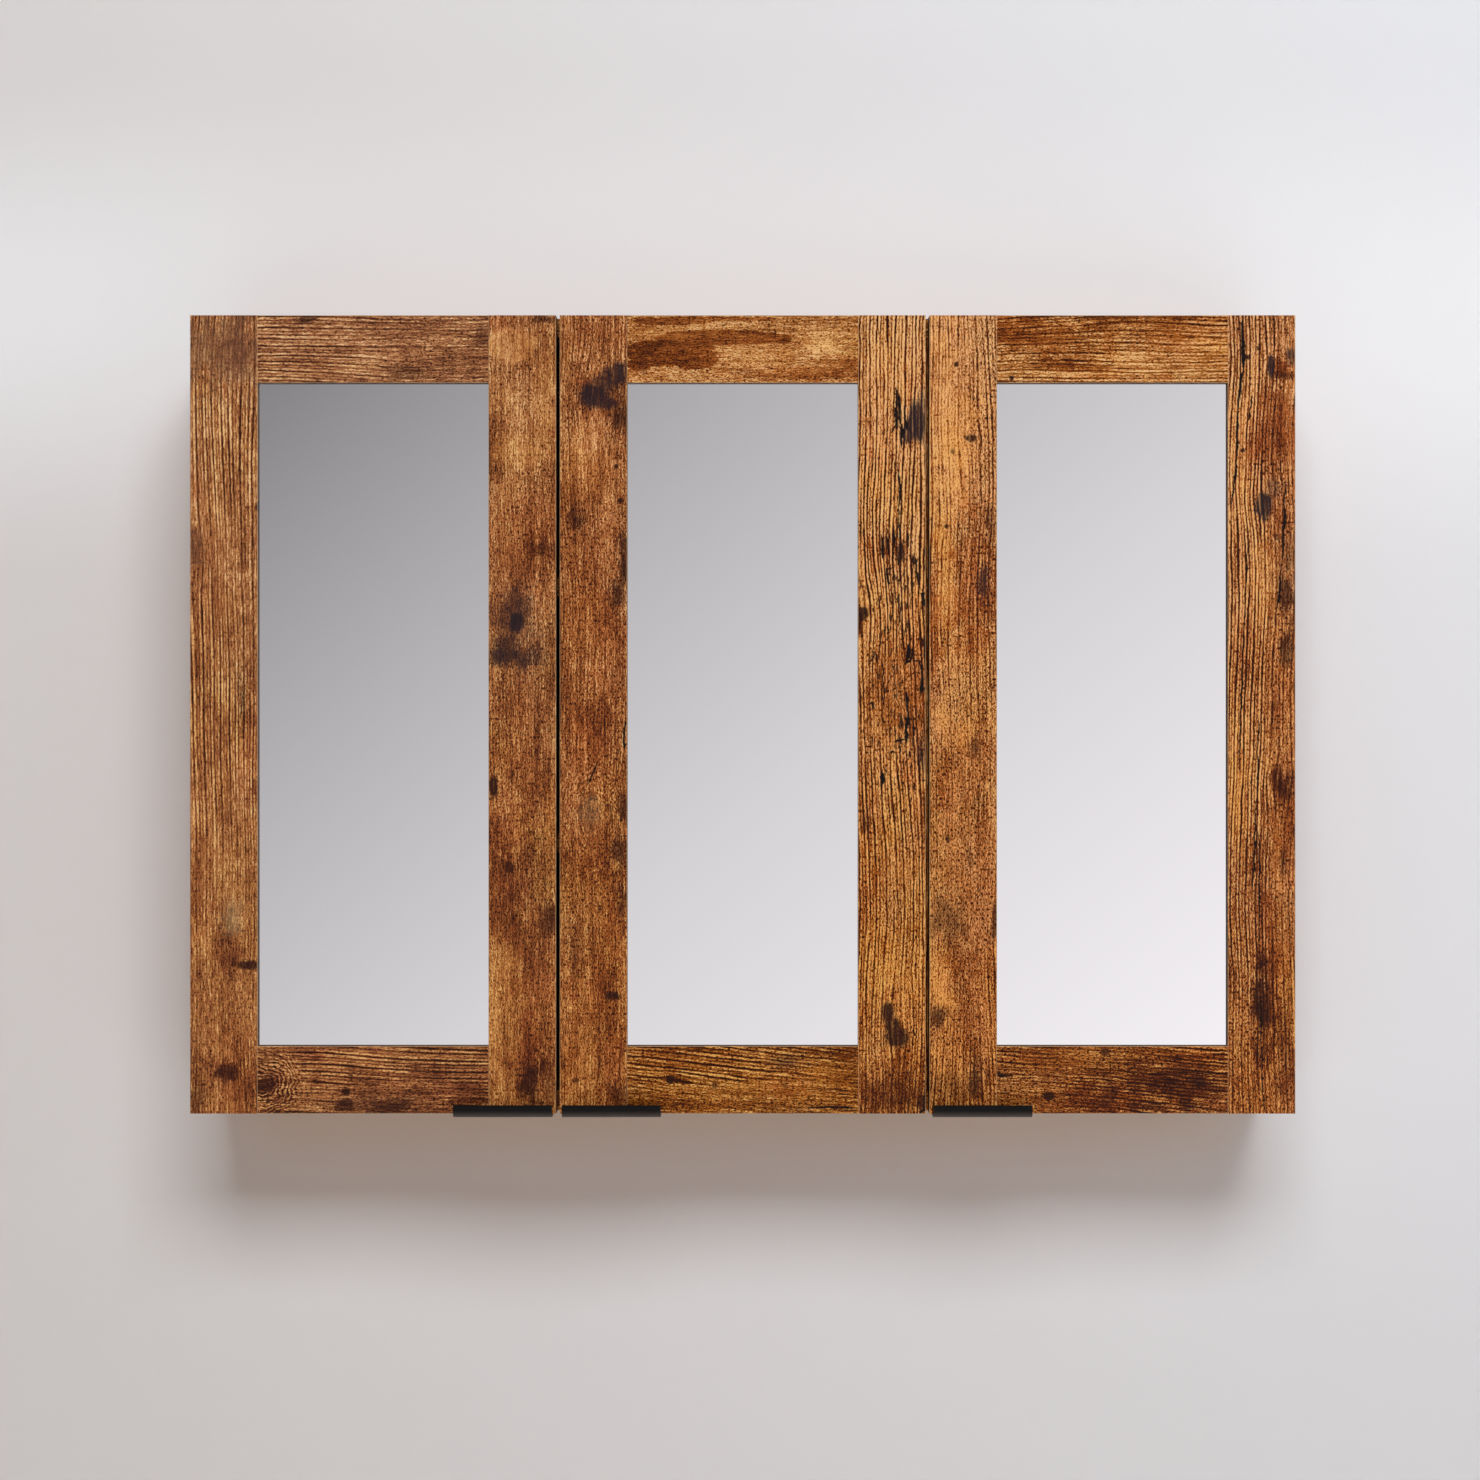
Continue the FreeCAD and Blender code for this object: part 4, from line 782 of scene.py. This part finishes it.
def grain_lines(board, look):
    """The board's grain lines, bent round knots and broken up by pores; dark below 0 and light above."""
    tree, noises = board.tree, board.noises
    across, through, along = (board.sides[axis] for axis in board.axes)
    bent = across + through + along * look.lean + noises["Wander"] * WANDER
    front_across = (1, 0, 0) if board.axes[0] == "x" else (0, 0, 1)
    for x, z, half_x, half_z, push in BENDS.get(board.node, ()):
        bend = use_group(
            tree, GRAIN_BEND, Place=board.flat, Middle=(x, 0, z), Half=(half_x, 1, half_z),
            Across=front_across, Push=push)
        bent = bent + bend["Shift"]
    turns = 2 * math.pi / look.pitch
    stray = noises["Wobble"] * look.wobble
    fine = (bent * turns + stray).math("SINE")
    coarse = (bent * (turns * COARSE_TURNS) + stray * COARSE_WOBBLE).math("SINE")
    lines = fine * FINE_LINES + coarse * COARSE_LINES
    for x, z, half_x, half_z in RINGS.get(board.node, ()):
        rings = use_group(
            tree, RING_GRAIN, Place=board.flat, Middle=(x, 0, z), Half=(half_x, 1, half_z),
            Size=min(half_x, half_z), Fray=noises["Ragged"])
        circles = (rings["Radius"] * turns + stray).math("SINE")
        lines = lines + (circles - lines) * rings["Mask"]
    mean_square = 0.5  # of a sine
    lines = lines - (lines * lines - mean_square) * LINE_SKEW
    presence = (noises["Amount"] * PRESENCE_SWING + LINE_PRESENCE).clamp()
    whole = noises["Pores"] * (-PORE_BREAKS * look.wobble) + (1 - WOBBLE_BREAKS * look.wobble)
    return lines * presence * whole.clamp() * look.contrast


def placed_marks(board):
    """Each layer of a door board's marks, as the largest of its marks."""
    layers = {}
    for kind, places in MARKS.get(board.node, {}).items():
        layer, softness, torn, streaked, speckled = MARK_KINDS[kind]
        fray = weighted(board.noises, {"Ragged": torn, "Streak": streaked, "Speckle": speckled})
        for x, z, half_x, half_z, strength in places:
            mark = use_group(
                board.tree, GRAIN_MARK, Place=board.flat, Middle=(x, 0, z), Half=(half_x, 1, half_z),
                Fray=fray, Softness=softness, Strength=strength)
            layers[layer] = largest(layers.get(layer), mark["Mask"])
    return layers


def placed_cracks(board):
    """The cracks of a door board, a little crooked; None if it has none."""
    tree, noises = board.tree, board.noises
    crook = add(tree, "CombineXYZ", {
        "X": noises["Ragged"] * CRACK_CROOK["x"], "Z": noises["Mottle"] * CRACK_CROOK["z"]})
    place = vector_math(tree, "ADD", board.flat, crook.outputs[0])
    fray = weighted(noises, CRACK_FRAY)
    cracks = None
    for start_x, start_z, end_x, end_z, width in CRACKS.get(board.node, ()):
        crack = use_group(
            tree, CRACK, Place=place, Start=(start_x, 0, start_z), End=(end_x, 0, end_z), Width=width,
            Fray=fray)
        cracks = largest(cracks, crack["Mask"])
    return cracks


def open_pores(board, checks):
    """Fine dark pores, many more of them where the board has checks."""
    level = PORE_LEVEL
    if checks:
        level = checks * -CHECKS_DROP + PORE_LEVEL
    return smooth_step(board.tree, board.noises["Pores"], level, level + PORE_EDGE) * PORE_DEPTH


def board_edges(board):
    """A painted highlight along the bevels at a door board's front, and painted shade on its edge faces that
    look inwards.
    """
    side = "xyz".index(board.axes[0])
    across = board.sides[board.axes[0]]
    low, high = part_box(board.node)
    edge = (across - low[side] * MM).math("MINIMUM", high[side] * MM - across)
    front = board.sides["y"].math("LESS_THAN", low[1] * MM + ARRIS)
    inner = across.math("ABSOLUTE").math("LESS_THAN", cad_box[1][side] * MM - ON_FACE)
    return {
        # painted highlight along the front bevel
        "ArrisHighlight": edge.math("LESS_THAN", ARRIS) * front,
        # painted shade on the edge faces that look inwards
        "EdgeShade": edge.math("LESS_THAN", ON_FACE) * (1.0 - front) * inner,
    }


def rustic_board(name, axes, look, node=None):
    """A board of the wood print; a door board has its own marks, any other has scattered knots."""
    material, tree, shader, place = new_material(name)
    sides = axis_signals(tree, place)
    grain = add(tree, "CombineXYZ", {i: sides[axis] for i, axis in enumerate(axes)}).outputs[0]
    flat = add(tree, "CombineXYZ", {"X": sides["x"], "Z": sides["z"]}).outputs[0]
    noises = use_group(tree, BOARD_NOISE, Grain=grain)
    board = Board(tree, node, axes, sides, flat, noises)
    lines = grain_lines(board, look)
    layers = placed_marks(board)
    grit = look.grit
    plain = layers.pop("Plain", None)
    if plain:
        lines = lines * (1.0 - plain * PLAIN_FADE)
        grit = plain * PLAIN_GRIT + grit
    if node is None:
        fray = noises["Ragged"] + noises["Speckle"] * KNOT_SPECKLE
        layers["Dark"] = use_group(tree, SCATTERED_KNOTS, Grain=grain, Fray=fray)["Mask"]
    grime = smooth_step(tree, weighted(noises, GRIME_SHARES), *GRIME_LEVELS) * GRIME
    layers["Stain"] = largest(layers.get("Stain"), grime)
    pores = open_pores(board, layers.pop("Checks", None))
    inputs = {label: noises[label] for label in ("Fibre", "Speckle", "Mottle", "Bands", "Red", "Streak")}
    inputs.update(layers, Lines=lines, Grit=grit, Crack=largest(placed_cracks(board), pores))
    inputs["Warmth"] = noises["Amount"] * WARMTH_SWING - sides["z"] * WARMER_DOWN
    inputs.update(Lightness=look.lightness, Redness=look.redness, Greyness=look.greyness)
    # door boards get the painted bevel highlight and the painted shade on their inward edge faces
    if node:
        inputs.update(board_edges(board))
    colours = use_group(tree, RUSTIC_COLOUR, **inputs)
    feed(tree, shader.inputs["Base Color"], colours["Colour"])
    feed(tree, shader.inputs["Roughness"], colours["Roughness"])
    shader.inputs["Specular IOR Level"].default_value = FAINT_SPECULAR
    bump(tree, shader, colours["Height"], WOOD_RELIEF)
    return material


def mottled(finish):
    """A finish whose colour and roughness vary finely."""
    material, tree, shader, place = new_material(finish.name)
    level = use_group(tree, FINE_MOTTLE, Place=place, Size=finish.size)["Level"]
    colour = mix(tree, (level * 0.5 + 0.5).clamp(), linear(*finish.base), linear(*finish.other))
    feed(tree, shader.inputs["Base Color"], colour)
    feed(tree, shader.inputs["Roughness"], level * finish.swing + finish.roughness)
    shader.inputs["Metallic"].default_value = finish.metallic
    if finish.depth:
        bump(tree, shader, level, finish.depth)
    return material


def silvered_glass():
    """A clean mirror with a breath of haze."""
    material, tree, shader, place = new_material("silvered_glass")
    haze = use_group(tree, FINE_MOTTLE, Place=place, Size=HAZE_SIZE)["Level"]
    feed(tree, shader.inputs["Roughness"], (haze * HAZE).clamp())
    shader.inputs["Base Color"].default_value = MIRROR_COLOUR
    shader.inputs["Metallic"].default_value = 1.0
    return material


def black_coat():
    """A matt black powder coat with a painted sheen that greys it towards the pull's lower edge, standing in
    for the light its downward bend catches.
    """
    material, tree, shader, place = new_material("matt_black_coat")
    level = use_group(tree, FINE_MOTTLE, Place=place, Size=PULL_GRAINS)["Level"]
    height = axis_signals(tree, place)["z"]
    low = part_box("left_door_pull")[0][2] * MM
    # painted light: grey towards the lower edge where the bend faces light from below; fine mottle over all
    sheen_and_mottle = smooth_step(tree, height, low + PULL_SHEEN_HEIGHT, low) * PULL_SHEEN_STRENGTH + level * PULL_MOTTLE
    colour = mix(tree, sheen_and_mottle.clamp(), linear(*PULL_BLACK), linear(*PULL_SHEEN_GREY))
    feed(tree, shader.inputs["Base Color"], colour)
    feed(tree, shader.inputs["Roughness"], level * PULL_ROUGHNESS_SWING + PULL_ROUGHNESS)
    shader.inputs["Specular IOR Level"].default_value = FAINT_SPECULAR
    bump(tree, shader, level, PULL_RELIEF)
    return material


def slot_finishes():
    """Every material but the boards' by the slot that it dresses."""
    finishes = {slot: mottled(finish) for slot, finish in MOTTLED_FINISHES.items()}
    bumper = finishes["clear_bumper"].node_tree.nodes["Principled BSDF"]
    bumper.inputs["Transmission Weight"].default_value = BUMPER_TRANSMISSION
    finishes["mirror_glass"] = silvered_glass()
    finishes["black_pull"] = black_coat()
    return finishes


def dress(node, material):
    for slot in frame["nodes"][node].material_slots:
        slot.material = material


def dress_all():
    for node, look in DOOR_PRINTS.items():
        axes = "xyz" if "stile" in node else "zyx"
        dress(node, rustic_board(node + "_print", axes, look, node))
    prints = {}
    for node, axes in CARCASS_BOARDS.items():
        if axes not in prints:
            prints[axes] = rustic_board(f"carcass_print_{axes}", axes, CARCASS_PRINT)
        dress(node, prints[axes])
    finishes = slot_finishes()
    for part in frame["record"]["subparts"]:
        if part["material_slot"] in finishes:
            dress(part["node"], finishes[part["material_slot"]])


# Stage, light and camera, in metres

VIEW_WIDTH = 1.205  # width of the picture at the doors' front
VIEW_DISTANCE = 2.2  # from the doors' front to the camera
VIEW_AXIS = (-0.0022, -0.0208)  # x and z that the camera looks along
SENSOR = 36.0  # mm
DOOR_FRONT = -0.150  # y of the doors' front

WALL_GAP = 0.001  # from the cabinet's back to the wall
FLOOR_Z = -1.1
COVE = 0.3  # radius between wall and floor
COVE_STEPS = 16
STAGE_HALF = 4.0
STAGE_TOP = 3.0
STAGE_DEPTH = 4.5
OPENING_HALF = (0.4485, 0.3235)  # half width and half height of the opening behind the cabinet
OPENING_CELL = (1, 1)  # its row and column among the backdrop's faces

# Paint of the wall, with light and shade painted into it: each pair is the place in mm where a tint begins
# and the place where it is whole
# painted light: the wall is shaded darker on the left and lit brighter on the right
WALL_LEFT_SHADED = (0.775, 0.738, 0.728, 1.0)
WALL_RIGHT_LIT = (0.85, 0.845, 0.868, 1.0)
RIGHTWARDS = (-800, 800)
# painted light: a brighter band across the wall at the height of the cabinet's top
WALL_PAINTED_GLOW = (0.97, 0.96, 0.975, 1.0)
GLOW_SHARE = 0.8
GLOW_FROM_BELOW = (100, 330)
GLOW_FROM_ABOVE = (580, 360)
# painted shade: the wall darker towards the floor
WALL_LOW_SHADE = (0.73, 0.70, 0.69, 1.0)
LOW_SHADE_SHARE = 0.4
LOWER = (-150, -650)
# painted shadow: a warm brown shade on the wall just under the cabinet, standing in for its shadow and the
# light bounced off the wood
WALL_UNDER_SHADOW = (0.70, 0.58, 0.42, 1.0)
UNDER_SHADOW_SHARE = 0.5
UNDER_FROM_BELOW = (-405, -330)
UNDER_FROM_ABOVE = (100, -100)
UNDER_FROM_ASIDE = (470, 380)
WALL_ROUGHNESS = 0.9

# The room that mirrors and metal see: its levels from the upper left to the lower right
ROOM_LEVELS = {0.0: 0.5, 0.33: 0.24, 0.425: 0.48, 0.52: 0.71, 0.66: 0.965, 1.0: 0.86}
ROOM_GREEN = 0.966  # green beside red and blue
ROOM_TILT = 1.3
DEPTH_GUARD = 0.05  # keeps the slope finite where the room is seen edge on
EVEN_LIGHT = (0.05, 0.041, 0.033, 1.0)
ROOM_SEEN = (0.80, 0.79, 0.79, 1.0)

# Soft rectangular lamps: place, width and height, power and colour
LAMP_AIM = Vector((0, 0, 0))
Lamp = namedtuple("Lamp", "name at size watts colour")
LAMPS = (
    Lamp("overhead_softbox", (0.35, -3.6, 2.6), (2.6, 1.6), 147, (0.87, 0.942, 1.0)),
    Lamp("right_window", (2.8, -1.3, 0.4), (1.4, 1.4), 8, (0.8, 0.92, 1.0)),
    Lamp("rear_fill", (-0.7, 3.0, 1.4), (1.6, 1.2), 105, (1.0, 0.97, 0.93)),
    Lamp("front_fill", (0.0, -4.2, -0.05), (1.0, 0.8), 21, (1.0, 0.7, 0.44)),
)


def wall_paint():
    """A pale paint with painted light and shade: lighter to the right, a painted glow around the cabinet's
    top, painted shade low down and a painted warm shadow under the cabinet; seen from behind it lets the
    view through.
    """
    material, tree, shader, place = new_material("pale_wall")
    sides = axis_signals(tree, place)
    height = sides["z"]
    # painted light: darker to the left, brighter to the right
    colour = mix(tree, smooth_step(tree, sides["x"], *RIGHTWARDS), WALL_LEFT_SHADED, WALL_RIGHT_LIT)
    # painted light: a brighter band across the wall round the cabinet's top
    glow_band = smooth_step(tree, height, *GLOW_FROM_BELOW) * smooth_step(tree, height, *GLOW_FROM_ABOVE)
    colour = mix(tree, glow_band * GLOW_SHARE, colour, WALL_PAINTED_GLOW)
    # painted shade: darker towards the floor
    colour = mix(tree, smooth_step(tree, height, *LOWER) * LOW_SHADE_SHARE, colour, WALL_LOW_SHADE)
    # painted shadow: warm brown shade on the wall right under the cabinet
    painted_shadow = smooth_step(tree, height, *UNDER_FROM_BELOW) * smooth_step(tree, height, *UNDER_FROM_ABOVE)
    painted_shadow = painted_shadow * smooth_step(tree, sides["x"].math("ABSOLUTE"), *UNDER_FROM_ASIDE)
    colour = mix(tree, painted_shadow * UNDER_SHADOW_SHARE, colour, WALL_UNDER_SHADOW)
    feed(tree, shader.inputs["Base Color"], colour)
    shader.inputs["Roughness"].default_value = WALL_ROUGHNESS
    either = add(tree, "MixShader", {
        0: add(tree, "NewGeometry").outputs["Backfacing"],
        1: shader.outputs[0],
        2: add(tree, "BsdfTransparent").outputs[0]})
    feed(tree, tree.nodes["Material Output"].inputs["Surface"], either.outputs[0])
    return material


def backdrop():
    """A wall that runs down in a cove to a floor, open behind the cabinet so that light reaches its back."""
    half_width, half_height = OPENING_HALF
    profile = [(WALL_GAP, STAGE_TOP), (WALL_GAP, half_height), (WALL_GAP, -half_height)]
    for step in range(COVE_STEPS + 1):
        angle = math.pi / 2 * step / COVE_STEPS
        y = WALL_GAP - COVE + COVE * math.cos(angle)
        profile.append((y, FLOOR_Z + COVE - COVE * math.sin(angle)))
    profile.append((-STAGE_DEPTH, FLOOR_Z))
    columns = (-STAGE_HALF, -half_width, half_width, STAGE_HALF)
    points = [(x, y, z) for y, z in profile for x in columns]
    faces = []
    for row in range(len(profile) - 1):
        for column in range(len(columns) - 1):
            first = len(columns) * row + column
            below = first + len(columns)
            if (row, column) != OPENING_CELL:
                faces.append((first, below, below + 1, first + 1))
    mesh = bpy.data.meshes.new("backdrop")
    mesh.from_pydata(points, [], faces)
    for face in mesh.polygons:
        face.use_smooth = True
    mesh.materials.append(wall_paint())
    stage = bpy.data.objects.new("backdrop", mesh)
    bpy.context.scene.collection.objects.link(stage)


def room():
    """Even light; mirrors and metal see a room, dim on the upper left and bright on the lower right."""
    world = bpy.data.worlds.new("studio_room")
    bpy.context.scene.world = world
    world.use_nodes = True
    tree = world.node_tree
    heading = axis_signals(tree, add(tree, "TexCoord").outputs["Generated"])
    depth = heading["y"].math("ABSOLUTE") + DEPTH_GUARD
    slope = (heading["x"] - heading["z"] * ROOM_TILT) / depth
    stops = {at: (level, level * ROOM_GREEN, level, 1.0) for at, level in ROOM_LEVELS.items()}
    reflected = colour_ramp(tree, slope * 0.5 + 0.5, stops)
    rays = add(tree, "LightPath")
    glossy, seen, passed = (
        Signal(tree, rays.outputs[f"Is {kind} Ray"]) for kind in ("Glossy", "Camera", "Transmission"))
    colour = mix(tree, glossy, EVEN_LIGHT, reflected)
    colour = mix(tree, largest(seen, passed), colour, ROOM_SEEN)
    feed(tree, tree.nodes["Background"].inputs["Color"], colour)


def lights():
    for lamp in LAMPS:
        source = bpy.data.lights.new(lamp.name, "AREA")
        source.shape = "RECTANGLE"
        source.size, source.size_y = lamp.size
        source.energy = lamp.watts
        source.color = lamp.colour
        light = bpy.data.objects.new(lamp.name, source)
        light.location = lamp.at
        light.rotation_euler = (LAMP_AIM - Vector(lamp.at)).to_track_quat("-Z", "Y").to_euler()
        light.visible_camera = False
        light.visible_glossy = False
        bpy.context.scene.collection.objects.link(light)


def camera():
    """A camera that looks straight at the doors from the front."""
    lens = bpy.data.cameras.new("front_camera")
    lens.sensor_width = SENSOR
    lens.lens = SENSOR * VIEW_DISTANCE / VIEW_WIDTH
    eye = bpy.data.objects.new("front_camera", lens)
    eye.location = (VIEW_AXIS[0], DOOR_FRONT - VIEW_DISTANCE, VIEW_AXIS[1])
    eye.rotation_euler = (math.pi / 2, 0, 0)
    bpy.context.scene.collection.objects.link(eye)
    bpy.context.scene.camera = eye


dress_all()
backdrop()
room()
lights()
camera()
bpy.context.scene.view_settings.view_transform = "Standard"
